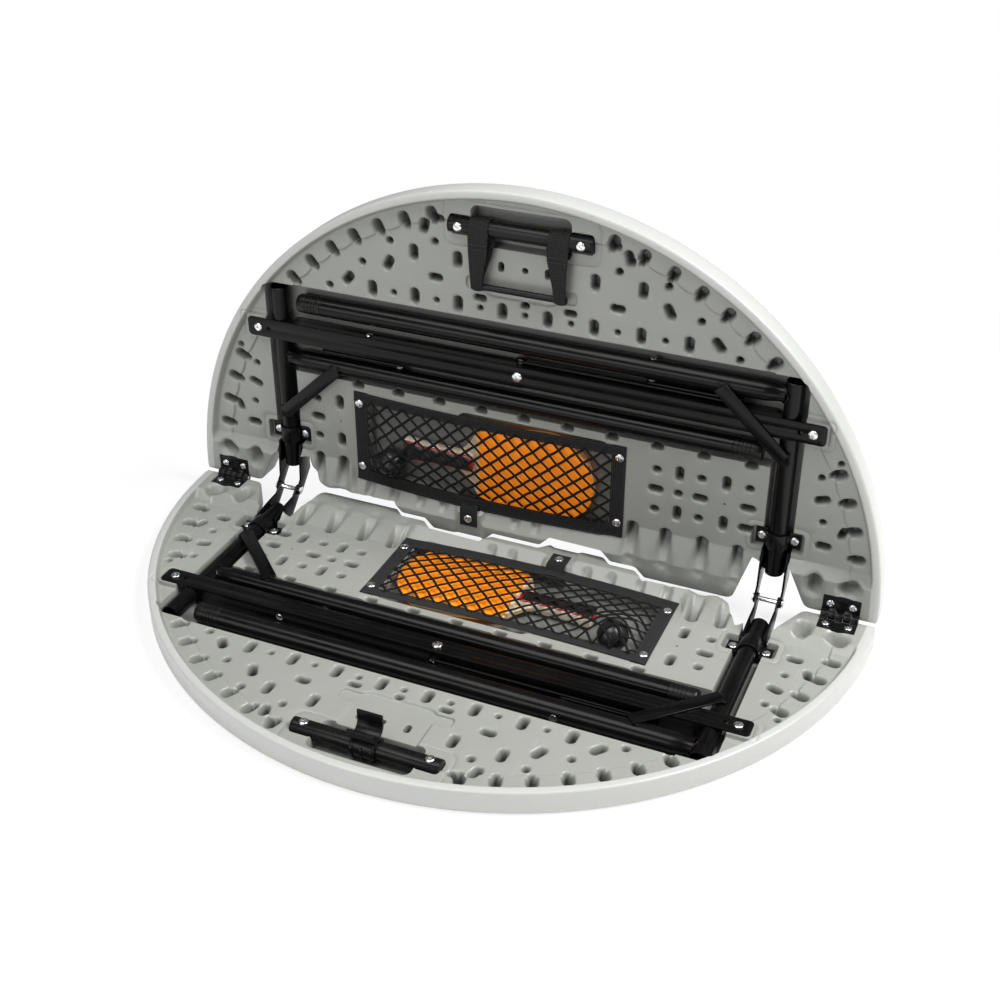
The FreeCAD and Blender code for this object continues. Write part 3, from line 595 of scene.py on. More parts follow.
def deck_slope(u):
    """Where the deck beside the fold starts to fall and where it meets the panel"""
    near = bow(u)
    beside = np.clip(np.maximum(POCKET_OUTER[0] - 3 - u, u - POCKET_OUTER[1] - 3) / 6.0, 0, 1)
    start = 12.0 - 4.0 * near + 4.0 * beside
    end = 31.0 + BOW_NEAR * near + (22.0 - BOW_NEAR * near) * beside
    ends = ease((np.abs(u) - 300.0) / 12.0)
    return start + (45.0 - start) * ends, end + (58.0 - end) * ends


def dimple_relief(kind, d, v, cv, length, size):
    depth = DEPTHS[kind]
    ramp = size * (0.9 if kind in ("soft", "big") else 0.52)
    if kind == "tall":
        along = ease((v - cv + length * 0.5) / length)
        depth = depth * (0.22 + 0.78 * along)
        d = d - 4.5 * (1 - along)
        ramp = ramp + 5.0 * (1 - along)
    bevel = 0.0 if kind in ("soft", "pin") else BEVEL
    return bevel * np.clip(1 - d / BEVEL_REACH, 0, 1) ** 2 + (depth - bevel) * ease(-d / ramp)


def underside_height(u, v):
    r = np.hypot(u, v)
    h = -PANEL_DROP * ease((RIM_EDGE - r) / RIM_RUN)
    step = scallop_radius(np.degrees(np.arctan2(u, v)))
    h = np.where(r < 430, h - STEP_DROP * ease((step - r) / STEP_RUN), h)
    start, end = deck_slope(u)
    h = h * np.clip((v - start) / (end - start), 0, 1)
    for box, corner, level, draft in PADS:
        s = ease(-to_box(u, v, box, corner) / draft)
        h = h * (1 - s) + level * s
    for box, corner in GROOVES:
        h = h - 0.7 * np.clip(1 - np.abs(to_box(u, v, box, corner)) / 1.1, 0, 1)
    for kind, cu, cv, turn, length, size in DIMPLES:
        near = np.abs(u - cu) + np.abs(v - cv) < 60
        if near.any():
            d = to_slot(u[near], v[near], cu, cv, turn, length, size)
            if kind == "keyhole":
                d = np.minimum(d, to_slot(u[near], v[near], *keyhole_tail(cu, cv), 0, 0, TAIL_SIZE))
            h[near] = h[near] - dimple_relief(kind, d, v[near], cv, length, size)
    for box, corner, level, draft in SHELVES + WELLS:
        h = lower_towards(h, to_box(u, v, box, corner), level, draft)
    return np.maximum(h, FLOOR)


def fold_edge():
    steps = [(-282.0, -12.0), (-172.0, -12.0), (-160.0, 0.0), (-127.0, 0.0)]
    steps += [(-115.0, 12.0), (-44.0, 12.0), (-32.0, 0.0)]
    steps += [(-u, -v) for u, v in reversed(steps)]
    return [(u, v + FOLD_LIP) for u, v in steps]


def rounded_corners(points):
    out = []
    for k in range(1, len(points) - 1):
        a, b, c = (np.array(points[i]) for i in (k - 1, k, k + 1))
        size = 7.0 if abs(b[0]) > 280 and b[1] < 40 else 2.5
        first = b + (a - b) / np.linalg.norm(a - b) * size
        last = b + (c - b) / np.linalg.norm(c - b) * size
        for t in (0.0, 0.25, 0.5, 0.75, 1.0):
            out.append(tuple((1 - t) ** 2 * first + 2 * t * (1 - t) * b + t * t * last))
    return [points[0]] + out + [points[-1]]


def half_outline(inset):
    r = RADIUS - inset
    reach = math.sqrt(r * r - FOLD_LIP * FOLD_LIP)
    left = [(-reach, FOLD_LIP), (-371.0, FOLD_LIP), (-349.0, 48.0), (-300.0, 48.0)]
    path = rounded_corners(left + fold_edge() + [(-u, v) for u, v in reversed(left)])
    start = math.atan2(path[-1][1], path[-1][0])
    end = math.atan2(path[0][1], path[0][0])
    turns = [start + (end - start) * k / RIM_PARTS for k in range(1, RIM_PARTS)]
    rim = [(r * math.cos(a), r * math.sin(a)) for a in turns]
    return subdivided(path, every(5.0), False) + [path[-1]] + rim


def inside(outline, points):
    out = np.zeros(len(points), bool)
    line = np.array(outline)
    x, y = points[:, 0], points[:, 1]
    for (x0, y0), (x1, y1) in zip(line, np.roll(line, -1, 0)):
        if y0 != y1:
            cut = x0 + (y - y0) * (x1 - x0) / (y1 - y0)
            out ^= ((y0 > y) != (y1 > y)) & (x < cut)
    return out


def filled_outline(points, edges, outline, snap):
    done = geometry.delaunay_2d_cdt([Vector(p) for p in points], edges, [], 0, snap)
    spots = np.array([(p.x, p.y) for p in done[0]])
    tris = np.array([f for f in done[2] if len(f) == 3])
    return spots, tris[inside(outline, spots[tris].mean(1))], done[3]


def underside_loops():
    loops = []
    for kind, cu, cv, turn, length, size in DIMPLES:
        count = 22 if kind in ("tall", "big") else 18
        for grow in (2.5, 1.5, 0.7, 0.0, -0.12 * size, -0.26 * size, -0.39 * size, -0.52 * size):
            loops.append(slot_loop(cu, cv, turn, length, size + grow, count))
        if kind in ("tall", "soft", "big"):
            wider = (4.6, 3.4, 2.2) if kind == "tall" else ()
            for grow in wider + (-0.7 * size, -0.86 * size):
                loops.append(slot_loop(cu, cv, turn, length, size + grow, 26))
        if kind == "keyhole":
            for grow in (2.3, 1.5, 0.7, 0.0, -1.2, -2.4):
                loops.append(slot_loop(*keyhole_tail(cu, cv), 0, 0, TAIL_SIZE + grow, 12))
    for box, corner, level, draft in WELLS + SHELVES + PADS:
        for grow in (1.0, 0.0, -0.2 * draft, -0.4 * draft, -0.6 * draft, -0.8 * draft, -draft, -draft - 1.2):
            loops.append(box_loop(box, corner, grow))
    for box, corner in GROOVES:
        loops += [box_loop(box, corner, grow) for grow in (-1.1, 0.0, 1.1)]
    return loops


def underside_lines():
    lines = []
    for r in (449.5, 448.0, 446.7, 445.4, 444.1, 442.8, 441.5):
        lines.append([(r * math.cos(math.pi * k / 300), r * math.sin(math.pi * k / 300)) for k in range(301)])
    turns = np.linspace(-math.pi / 2, math.pi / 2, 361)
    for grow in (1.4, 0.0, -0.8, -1.5, -2.2, -3.4):
        reach = scallop_radius(np.degrees(turns)) + grow
        lines.append(list(zip(reach * np.sin(turns), reach * np.cos(turns))))
    spans = [(-448, -372, 6), (-371, -300, 3), (-300, 301, 5), (303, 372, 3), (373, 449, 6)]
    along = np.concatenate([np.arange(float(a), b, step) for a, b, step in spans])
    start, end = deck_slope(along)
    for share, off in ((0, -1.5), (0, 0), (0, 1.5), (0.3, 0), (0.6, 0), (0.85, 0), (1, -1.2), (1, 0), (1, 1.2)):
        lines.append(list(zip(along, start + (end - start) * share + off)))
    return lines


def triangulated_half():
    outline = half_outline(2.4)
    points = list(outline)
    edges = chain(0, len(outline), True)
    for loop in underside_loops():
        edges += chain(len(points), len(loop), True)
        points += loop
    for line in underside_lines():
        edges += chain(len(points), len(line))
        points += line
    pitch = 13.0
    for row, v in enumerate(np.arange(4.0, 446.0, pitch * 0.87)):
        points += [(u + (row % 2) * pitch / 2, v) for u in np.arange(-446.0, 446.0, pitch)]
    spots, tris, _ = filled_outline(points, edges, outline, 0.02)
    used, index = np.unique(tris, return_inverse=True)
    return spots[used], index.reshape(-1, 3)


def outer_loop(tris):
    sides = {edge: True for a, b, c in tris for edge in ((a, b), (b, c), (c, a))}
    border = {a: b for a, b in sides if (b, a) not in sides}
    loop = [next(iter(border))]
    while border[loop[-1]] != loop[0]:
        loop.append(border[loop[-1]])
    return loop


# Side wall, from the lip down to the playing side:
# offset and drop along the rim, offset and drop along the fold
WALL_ROWS = [
    (1.6, 0.8, 0.45, 0.35), (2.2, 1.6, 0.7, 0.9), (2.4, 2.5, 0.78, 1.6), (2.4, 14.0, 0.78, 10.0),
    (2.4, 25.0, 0.78, 29.2), (1.95, 27.3, 0.66, 29.8), (0.65, 29.25, 0.35, 30.4),
    (-1.3, 30.55, 0.0, 30.8), (-3.6, 31.0, -0.8, 31.0), (-6.5, 31.0, -4.5, 31.0),
]
BACK_PITCH = 29.0


def in_notch(u, v):
    return 280 < abs(u) < 373 and v < 56


def half_shell():
    spots, tris = triangulated_half()
    area = spots[tris]
    turn = np.cross(area[:, 1] - area[:, 0], area[:, 2] - area[:, 0])
    tris[turn < 0] = tris[turn < 0][:, ::-1]
    height = underside_height(spots[:, 0], spots[:, 1])
    loop = outer_loop(tris)
    line = spots[loop]
    out = outward(line)
    rim = (np.hypot(line[:, 0], line[:, 1]) > RADIUS - 3.5) & (line[:, 1] > 3.0)
    points = [np.column_stack([spots, height])]
    faces = [tuple(t) for t in tris]
    start = height[loop]
    share = np.clip((start + 14.0) / 14.0, 0, 1)
    previous = list(loop)
    total = len(spots)
    span = len(loop)
    for offset_rim, drop_rim, offset_fold, drop_fold in WALL_ROWS:
        offset = np.where(rim, offset_rim, offset_fold)
        level = np.where(rim, -drop_rim, -drop_fold)
        if drop_fold < 5:
            level = np.where(rim, level, start - drop_fold * share)
        level = np.minimum(level, start)
        points.append(np.column_stack([line + out * offset[:, None], level]))
        current = [total + k for k in range(span)]
        for k in range(span):
            n = (k + 1) % span
            faces.append((previous[n], previous[k], current[k], current[n]))
        previous = current
        total += span
    inner = points[-1][:, :2]
    grid = [(u, v) for u in np.arange(-435.0, 436.0, BACK_PITCH) for v in np.arange(14.0, 440.0, BACK_PITCH)]
    grid = [p for p in grid if math.hypot(*p) < 440 and not in_notch(*p)]
    fill, tops, came_from = filled_outline([*inner, *grid], chain(0, span, True), inner, 0.001)
    number = []
    extra = []
    for spot, sources in zip(fill, came_from):
        if sources and sources[0] < span:
            number.append(previous[sources[0]])
        else:
            number.append(total + len(extra))
            extra.append((*spot, -THICK))
    points.append(np.array(extra))
    faces += [tuple(number[k] for k in triangle) for triangle in tops]
    return np.vstack(points), faces


def dress_halves(material):
    points, faces = half_shell()
    u, v, h = points.T
    r = np.hypot(u, v)
    # Where the paler rim colour goes: the lip, the outer side and the playing side; partly a paler plastic,
    # partly painted light
    pale = np.clip((h + 1.5) / 1.5, 0, 1) * (r > 446)
    pale = np.maximum(pale, (r > RADIUS - 2.0) | (h < -30.0))
    # Painted shade for the pits: it grows below 15 mm deep and is weaker inside the wide wells
    inner = (r < 446) & (h > -THICK + 2) & (v > 6)
    wide = np.minimum.reduce([to_box(u, v, box, corner) for box, corner, _, _ in WELLS])
    deep = np.clip((-15.0 - h) / 9.0, 0, 1) * inner * np.where(wide < 1, 0.42, 1.0)
    for half in HALVES:
        shell(
            f"{half}_moulding", (points, faces), PLACES[half], f"{half}_half", "table_plastic", material,
            (f"{half}_tabletop",), 50.0, pale=pale, deep=deep)


# Turned pieces: a profile of (distance, radius) spun about an axis of the half
AXES = {"u": (0, 1, 2), "v": (1, 2, 0), "h": (2, 0, 1)}


def spun(profile, centre, axis, count=48, ring=False):
    along, first, second = AXES[axis]
    points = []
    rows = []
    for s, r in profile:
        middle = list(centre)
        middle[along] = s
        if r <= 0:
            rows.append([len(points)] * count)
            points.append(middle)
            continue
        rows.append(range(len(points), len(points) + count))
        for x, y in circle(count):
            spot = list(middle)
            spot[first] += r * x
            spot[second] += r * y
            points.append(spot)
    faces = []
    for low, high in zip(rows, rows[1:] + rows[:ring]):
        for k in range(count):
            n = (k + 1) % count
            face = tuple(dict.fromkeys((low[k], low[n], high[n], high[k])))
            if len(face) > 2:
                faces.append(face)
    return points, faces


def gathered(parts):
    points, faces = [], []
    for more, rows in parts:
        first = len(points)
        points += [tuple(p) for p in more]
        faces += [tuple(first + k for k in face) for face in rows]
    return points, faces


def tube_faces(rows, count, closed=False):
    faces = []
    for k in range(rows if closed else rows - 1):
        n = (k + 1) % rows
        for i in range(count):
            j = (i + 1) % count
            faces.append((k * count + i, k * count + j, n * count + j, n * count + i))
    if not closed:
        faces.append(tuple(range(count - 1, -1, -1)))
        faces.append(tuple((rows - 1) * count + i for i in range(count)))
    return faces


def mirrored(part, flip):
    points, faces = part
    return ([(-p[0], p[1], p[2]) for p in points] if flip else points), faces


def swept(line, radius, count=8, closed=False, lump=0.0):
    points = []
    path = [Vector(p) for p in line]
    total = len(path)
    reference = Vector((0.13, 0.21, 0.97))
    for k, spot in enumerate(path):
        ahead = path[(k + 1) % total] if closed or k < total - 1 else spot
        behind = path[k - 1] if closed or k else spot
        tangent = (ahead - behind).normalized()
        side = tangent.cross(reference).normalized()
        top = side.cross(tangent)
        size = radius * (1 + lump * math.sin(k * 2.4))
        points += [tuple(spot + side * size * x + top * size * y) for x, y in circle(count)]
    return points, tube_faces(total, count, closed)


# Legs: rails, tubes and foot caps turned about their axes
LEG_ROWS = {"left": 190.0, "right": 268.0}
LEG_END = 300.0
LEG_SIZE = 12.25
RAIL_SIZE = 11.0
WELD = 10.3
CAP = 34.0


def rail_parts():
    profile = [(30.0, 10.5), (30.5, RAIL_SIZE), (285.5, RAIL_SIZE), (286.0, 10.5)]
    profile += [(286.0, 9.9), (285.6, 9.55), (30.4, 9.55), (30.0, 9.9)]
    profile = subdivided(profile, lambda length: 12 if length > 50 else 1)
    return spun(profile, (-RAIL, 0, -RAIL_DEPTH), "v", 48, True)


def leg_parts(v):
    start = -RAIL
    end = LEG_END - CAP
    taper = [(9.4, 8.5), (9.4, 10.0), (13.6, 10.0), (17.0, 10.15), (21.0, 10.7), (25.5, 11.5), (30.0, 12.08)]
    profile = [(start + s, r) for s, r in taper] + [(start + 34.0, LEG_SIZE)]
    profile += [(u, LEG_SIZE) for u in np.linspace(start + 60, end - 4, 14)]
    profile += [(end - 0.3, LEG_SIZE), (end, 11.9), (end, 8.5)]
    tube = spun(profile, (0, v, -RAIL_DEPTH), "u", 48, True)
    bead = []
    for x, y in circle(72):
        u = start + math.sqrt(RAIL_SIZE ** 2 - (10.0 * y) ** 2) + 0.9
        bead.append((u, v + WELD * x, -RAIL_DEPTH + WELD * y))
    return gathered([tube, swept(bead, 1.35, 8, True, 0.12)])


def foot_parts(v):
    start = LEG_END - CAP
    profile = [(start, 8.6), (start, 11.7), (start + 0.5, LEG_SIZE), (start + 4.5, LEG_SIZE)]
    for k in range(4):
        s = start + 5.6 + 4.6 * k
        profile += [(s, 12.2), (s + 0.3, 11.6), (s + 1.5, 11.55), (s + 1.9, 12.2), (s + 2.6, LEG_SIZE)]
    tip = [(5.0, 12.0), (2.2, 11.5), (0.7, 10.5), (0.1, 8.8), (0.0, 7.5), (0.6, 6.6), (0.8, 3.0), (0.8, 0)]
    profile += [(start + 25.0, 12.2)] + [(LEG_END - back, r) for back, r in tip] + [(start, 0)]
    return spun(profile, (0, v, -RAIL_DEPTH), "u", 56)


def dress_leg(half, side, steel, plastic, zinc):
    v = LEG_ROWS[side]
    name = f"{half}_{side}"
    for kind, part, finish, slot in (
        ("rail", rail_parts(), steel, "black_steel"),
        ("leg", leg_parts(v), steel, "black_steel"),
        ("foot", foot_parts(v), plastic, "black_plastic"),
    ):
        shell(
            f"{name}_{kind}_turned", mirrored(part, side == "right"), HARDWARE[half],
            f"{name}_leg", slot, finish, (f"{name}_{kind}",), 38.0)
    softened(f"{name}_gusset", f"{name}_leg", steel, 0.5)
    softened(f"{name}_leg_pin", f"{name}_leg", zinc, 0.4)
    for link in ("long_link", "short_link"):
        softened(f"{name}_{link}", f"{name}_{link}", steel, 0.6)


# Bats and balls
TIPS = {"lower": -114.0, "upper": -98.0}
BAT_ROW = 91.0
BLADE = 63.0
BAT_DEPTH = -16.2
BLADE_THICK = 4.8
SHOULDER = 0.74 * BLADE
THROAT = 13.0
HANDLE_START = 160.0
HANDLE_END = 256.0
HANDLE_ROUND = 0.62
BALLS = {"lower": (176.5, 126.6), "upper": (176.5, 69.2)}
BALL_TILT = 34


def through(a, b, c, count):
    """Points on the arc from a past b to c, without c itself"""
    (ax, ay), (bx, by), (cx, cy) = a, b, c
    d = 2 * (ax * (by - cy) + bx * (cy - ay) + cx * (ay - by))
    la, lb, lc = (x * x + y * y for x, y in (a, b, c))
    ox = (la * (by - cy) + lb * (cy - ay) + lc * (ay - by)) / d
    oy = (la * (cx - bx) + lb * (ax - cx) + lc * (bx - ax)) / d
    r = math.hypot(ax - ox, ay - oy)
    t0, t1, t2 = (math.atan2(y - oy, x - ox) for x, y in (a, b, c))
    turn = 2 * math.pi
    while t1 < t0:
        t1 += turn
    while t2 < t0:
        t2 += turn
    if t1 > t2:
        t2 -= turn
    turns = [t0 + (t2 - t0) * k / count for k in range(count)]
    return [(ox + r * math.cos(t), oy + r * math.sin(t)) for t in turns]


def bat_outline(tip, full):
    r = BLADE
    end = tip + 156.0
    flank = through((tip + r, -r), (tip + 1.75 * r, -0.91 * r), (end, -SHOULDER), 22)
    line = through((tip + r, r), (tip, 0), (tip + r, -r), 44) + flank
    if full:
        waist = []
        for t in [k / 9 for k in range(9)]:
            narrowed = (SHOULDER - THROAT) * (t + 0.16 * math.sin(math.pi * t))
            waist.append((end + 27.0 * t, narrowed - SHOULDER))
        waist += [(end + 27.0, -THROAT), (tip + 250.0, -THROAT)]
        line += waist + [(u, -v) for u, v in reversed(waist)]
    else:
        line += [(end - 3.0 * (1 - (v / SHOULDER) ** 2), v) for v in np.linspace(-SHOULDER, SHOULDER, 15)]
    return line + [(u, -v) for u, v in reversed(flank)][:-1]


def slab_piece(outline, levels):
    line = np.array(outline)
    out = outward(line)
    points = [(u, BAT_ROW + v, h) for h, inset in levels for u, v in line - out * inset]
    return points, tube_faces(len(levels), len(line))


def dress_bat(half, wood, rubber, lacquer, plastic):
    tip = TIPS[half]
    place = PLACES[half]
    body = f"{half}_half"
    low = BAT_DEPTH - BLADE_THICK / 2
    high = BAT_DEPTH + BLADE_THICK / 2
    levels = [(low, 0.35), (low + 0.35, 0.0), (BAT_DEPTH, 0.0), (high - 0.35, 0.0), (high, 0.35)]
    part = slab_piece(bat_outline(tip, True), levels)
    ply = [(p[2] - low) / (high - low) for p in part[0]]
    shell(f"{half}_bat_blade_ply", part, place, body, "plywood", wood, (f"{half}_bat_blade",), ply=ply)
    sheets = []
    sponge = []
    for sign, base in ((1, high), (-1, low)):
        steps = [(0.02, 0.5), (0.9, 0.45), (1.0, 0.3), (1.45, 0.3), (1.8, 0.65)]
        part = slab_piece(bat_outline(tip, False), [(base + sign * rise, inset) for rise, inset in steps])
        sheets.append(part)
        sponge += [1.0 if abs(p[2] - base) < 0.95 else 0.0 for p in part[0]]
    shell(
        f"{half}_bat_rubber_sheets", gathered(sheets), place, body, "bat_rubber", rubber,
        (f"{half}_bat_rubbers",), sponge=sponge)
    dress_handle(half, tip, lacquer)
    dress_ball(half, plastic)


def handle_section(t):
    flare = 1.0 + 0.17 * ease((t - 0.72) / 0.24) - 0.05 * math.sin(math.pi * min(t / 0.8, 1.0))
    return 13.6 * flare, 9.0 + 0.45 * ease((t - 0.75) / 0.2)


def rounded(x, size):
    return math.copysign(abs(x) ** HANDLE_ROUND, x) * size


def dress_handle(half, tip, lacquer):
    start = tip + HANDLE_START
    end = tip + HANDLE_END
    count = 56
    rows = 30
    rims = {0: (start + 0.6, 0.93), rows - 1: (end - 1.2, 1.0), rows: (end - 0.1, 0.90)}
    points, stripe = [], []
    for row in range(rows + 1):
        wide, high = handle_section(row / rows)
        u, cap = rims.get(row, (start + (end - start) * row / rows, 1.0))
        for x, y in circle(count):
            z = rounded(y, high * cap)
            points.append((u, BAT_ROW + rounded(x, wide * cap), BAT_DEPTH + z))
            stripe.append((abs(z) * MM, (u - start) * MM, 0.0))
    shell(
        f"{half}_bat_grip", (points, tube_faces(rows + 1, count)), PLACES[half], f"{half}_half", "handle_wood",
        lacquer, (f"{half}_bat_handle",), 50.0, stripe=stripe)


def dress_ball(half, plastic):
    u, v = BALLS[half]
    r = BALL - 0.05
    profile = [(-r, 0)]
    for k in range(1, 60):
        a = -math.pi / 2 + math.pi * k / 60
        seam = 0.10 * math.exp(-((math.degrees(a) / 1.6) ** 2))
        profile.append(((r - seam) * math.sin(a), (r - seam) * math.cos(a)))
    points, faces = spun(profile + [(r, 0)], (0, v, 0), "h", 72)
    tilt = math.radians(BALL_TILT)
    c, s = math.cos(tilt), math.sin(tilt)
    turned = [(u + x * c + z * s, y, BALL_DEPTH - x * s + z * c) for x, y, z in points]
    shell(
        f"{half}_play_ball", (turned, faces), PLACES[half], f"{half}_half", "ball_plastic", plastic,
        (f"{half}_ball",), 60.0)


# Net pockets: a crowned net of knotted cord inside a webbing border
NET_LOW = -9.9
NET_RISE = 6.6
NET_REACH = 44.0
NET_STEP = 22.2 / 2
NET_ACROSS = 18.8 / 2
NET_START = 1.5
NET_SLACK = 0.35
NET_SEEDS = {"lower": 11, "upper": 23}
BALL_CLEAR = 1.4


def net_edges(u):
    return POCKET[2] + BOW_NEAR * bow(u) - 1.0, POCKET[3] - BOW_FAR * bow(u) + 1.0


def net_level(u, v, half):
    """Level of the net: its own crown, or a sheet drawn tight over the ball from the nearest border"""
    near, far = net_edges(u)
    across = min(max((v - near) / (far - near), 0.0), 1.0)
    ends = min(u - POCKET[0], POCKET[1] - u) / 16.0
    crown = NET_LOW + NET_RISE * (1 - (2 * across - 1) ** 2) * ease(ends)
    bu, bv = BALLS[half]
    reach = BALL + BALL_CLEAR
    rho = math.hypot(u - bu, v - bv)
    if rho > NET_REACH:
        return crown
    c, s = ((u - bu) / rho, (v - bv) / rho) if rho > 1e-6 else (1.0, 0.0)
    wall = NET_REACH
    for edge, part, spot in ((far, s, bv), (near, s, bv), (POCKET[1] + 1, c, bu)):
        if part and (edge - spot) / part > 0:
            wall = min(wall, (edge - spot) / part)
    wall = max(wall, reach + 0.3)
    edge_level = NET_LOW if wall < NET_REACH - 0.1 else crown
    drop = edge_level - BALL_DEPTH
    angle = math.atan2(drop, wall) + math.acos(min(1.0, reach / math.hypot(wall, drop)))
    touch = reach * math.cos(angle)
    if rho < touch:
        return max(crown, BALL_DEPTH + math.sqrt(reach * reach - rho * rho))
    top = BALL_DEPTH + reach * math.sin(angle)
    return max(crown, top + (edge_level - top) * min(1.0, (rho - touch) / (wall - touch)))


def within_net(u, v, reach, past):
    near, far = net_edges(u)
    return POCKET[0] - reach <= u <= POCKET[1] + reach and near - past <= v <= far + past


def net_strands(half):
    u0 = POCKET[0]
    v0 = POCKET[2] - 4
    rng = np.random.default_rng(NET_SEEDS[half])
    points, edges, knots = [], [], []
    for sign in (1, -1):
        for start in np.arange(-28 * NET_STEP, 100 * NET_STEP, NET_STEP * 2):
            run = []
            for t in np.arange(0, 150.0, NET_STEP / 4):
                u, v = u0 + start + sign * (t + NET_START), v0 + t * NET_ACROSS / NET_STEP
                if within_net(u, v, 1.5, 1.5):
                    run.append((u, v))
            if len(run) < 2:
                continue
            wave = rng.uniform(0, 6.28)
            edges += chain(len(points), len(run))
            for k, (u, v) in enumerate(run):
                along, aside = NET_SLACK * math.sin(k * 0.9 + wave), NET_SLACK * math.cos(k * 0.7 + wave)
                points.append((u + along, v + aside, net_level(u, v, half)))
    for i in range(-30, 60):
        for j in range(0, 16):
            u = u0 + i * NET_STEP - 1.0
            v = v0 + (j * NET_STEP - NET_START) * NET_ACROSS / NET_STEP
            if (i + j) % 2 == 0 and within_net(u, v, 0.99, 0.0):
                knots.append((u, v, net_level(u, v, half)))
    return points, edges, knots


def tree_of(name, sockets):
    tree = bpy.data.node_groups.new(name, "GeometryNodeTree")
    tree.interface.new_socket("Geometry", in_out="INPUT", socket_type="NodeSocketGeometry")
    for label, kind, default in sockets:
        socket = tree.interface.new_socket(label, in_out="INPUT", socket_type=f"NodeSocket{kind}")
        if default is not None:
            socket.default_value = default
    tree.interface.new_socket("Geometry", in_out="OUTPUT", socket_type="NodeSocketGeometry")
    return tree, tree.nodes.new("NodeGroupInput").outputs, tree.nodes.new("NodeGroupOutput")


def end_tree(tree, last, result, finish):
    real = add(tree, "GeometryNodeRealizeInstances", {"Geometry": result}).outputs["Geometry"]
    coat = add(tree, "GeometryNodeSetMaterial", {"Geometry": real, "Material": finish})
    tree.links.new(coat.outputs["Geometry"], last.inputs["Geometry"])
    return tree


def named(tree, name, kind="FLOAT"):
    return add(tree, "GeometryNodeInputNamedAttribute", {"Name": name}, data_type=kind).outputs["Attribute"]


def stored(tree, curve, name, value):
    settings = {"Geometry": curve, "Value": value, "Name": name}
    kind = "GeometryNodeStoreNamedAttribute"
    return add(tree, kind, settings, data_type="FLOAT", domain="POINT").outputs["Geometry"]


def parted_by(tree, geometry_socket, name):
    settings = {"Geometry": geometry_socket, "Selection": named(tree, name)}
    return add(tree, "GeometryNodeSeparateGeometry", settings, domain="POINT").outputs


def grow(piece, tree, values):
    modifier = piece.modifiers.new(tree.name, "NODES")
    modifier.node_group = tree
    names = {item.name: item.identifier for item in tree.interface.items_tree if item.in_out == "INPUT"}
    for label, value in values.items():
        modifier[names[label]] = value
    return baked(piece)


def cord_tree():
    tree, given, last = tree_of("Netting", [
        ("Cord radius", "Float", 0.0013),
        ("Knot size", "Float", 0.0019),
        ("Facing", "Vector", None),
        ("Finish", "Material", None),
    ])
    parted = parted_by(tree, given["Geometry"], "knot")
    curve = add(tree, "GeometryNodeMeshToCurve", {"Mesh": parted["Inverted"]}).outputs["Curve"]
    settings = {"Curve": curve, "Normal": given["Facing"]}
    facing = add(tree, "GeometryNodeSetCurveNormal", settings, mode="FREE").outputs["Curve"]
    ring = add(tree, "GeometryNodeCurvePrimitiveCircle", {"Resolution": 8, "Radius": given["Cord radius"]})
    along = add(tree, "GeometryNodeSplineParameter").outputs
    around = stored(tree, ring.outputs["Curve"], "strand_turn", along["Factor"])
    flat = add(tree, "GeometryNodeTransform", {"Geometry": around, "Scale": (0.55, 1.0, 1.0)})
    tube = add(tree, "GeometryNodeCurveToMesh", {
        "Curve": stored(tree, facing, "strand_length", along["Length"]),
        "Profile Curve": flat.outputs["Geometry"], "Fill Caps": True,
    })
    ball = add(tree, "GeometryNodeMeshIcoSphere", {"Subdivisions": 2, "Radius": given["Knot size"]})
    settings = {"Points": parted["Selection"], "Instance": ball.outputs["Mesh"]}
    knots = add(tree, "GeometryNodeInstanceOnPoints", settings)
    joined = tree.nodes.new("GeometryNodeJoinGeometry")
    for part in (tube.outputs["Mesh"], knots.outputs["Instances"]):
        tree.links.new(part, joined.inputs["Geometry"])
    return end_tree(tree, last, joined.outputs["Geometry"], given["Finish"])


def dress_net(half, tree, radius, material):
    points, edges, knots = net_strands(half)
    piece = mesh_object(f"{half}_netting", points + knots, [], PLACES[half], edges)
    mark(piece, "knot", [0.0] * len(points) + [1.0] * len(knots))
    facing = (0.0, 0.0, 1.0) if half == "lower" else (0.0, -1.0, 0.0)
    grow(piece, tree, {"Cord radius": radius, "Knot size": radius * 1.15, "Facing": facing, "Finish": material})
    finish_piece(piece, f"{half}_half", None, (f"{half}_mesh",), 60.0)


# Section of the webbing: across, and through its thickness
WEB_TOP = [(-0.5, 0.0), (-0.49, 0.42), (-0.44, 0.5), (-0.40, 0.42), (-0.2, 0.42), (0.0, 0.42)]
WEB_TOP += [(0.2, 0.42), (0.40, 0.42), (0.44, 0.5), (0.49, 0.42), (0.5, 0.0)]
WEB_SHAPE = WEB_TOP + [(0.49, -0.42), (0.44, -0.5), (0.2, -0.42), (-0.2, -0.42), (-0.44, -0.5), (-0.49, -0.42)]


def band(line, cross, widths, thick, cups=None):
    points, marks = [], []
    travelled = 0.0
    path = [Vector(p) for p in line]
    last = len(path) - 1
    side = Vector(cross).normalized()
    for k, spot in enumerate(path):
        tangent = (path[min(k + 1, last)] - path[max(k - 1, 0)]).normalized()
        travelled += (spot - path[max(k - 1, 0)]).length
        across = (side - tangent * side.dot(tangent)).normalized()
        top = tangent.cross(across)
        wide = widths[k] if cups else widths
        curl = cups[k] if cups else 0.0
        for x, z in WEB_SHAPE:
            points.append(tuple(spot + across * x * wide + top * (z * thick - curl * (4 * x * x - 0.4))))
            marks.append((travelled * MM, x * wide * MM))
    return points, tube_faces(len(path), len(WEB_SHAPE)), marks


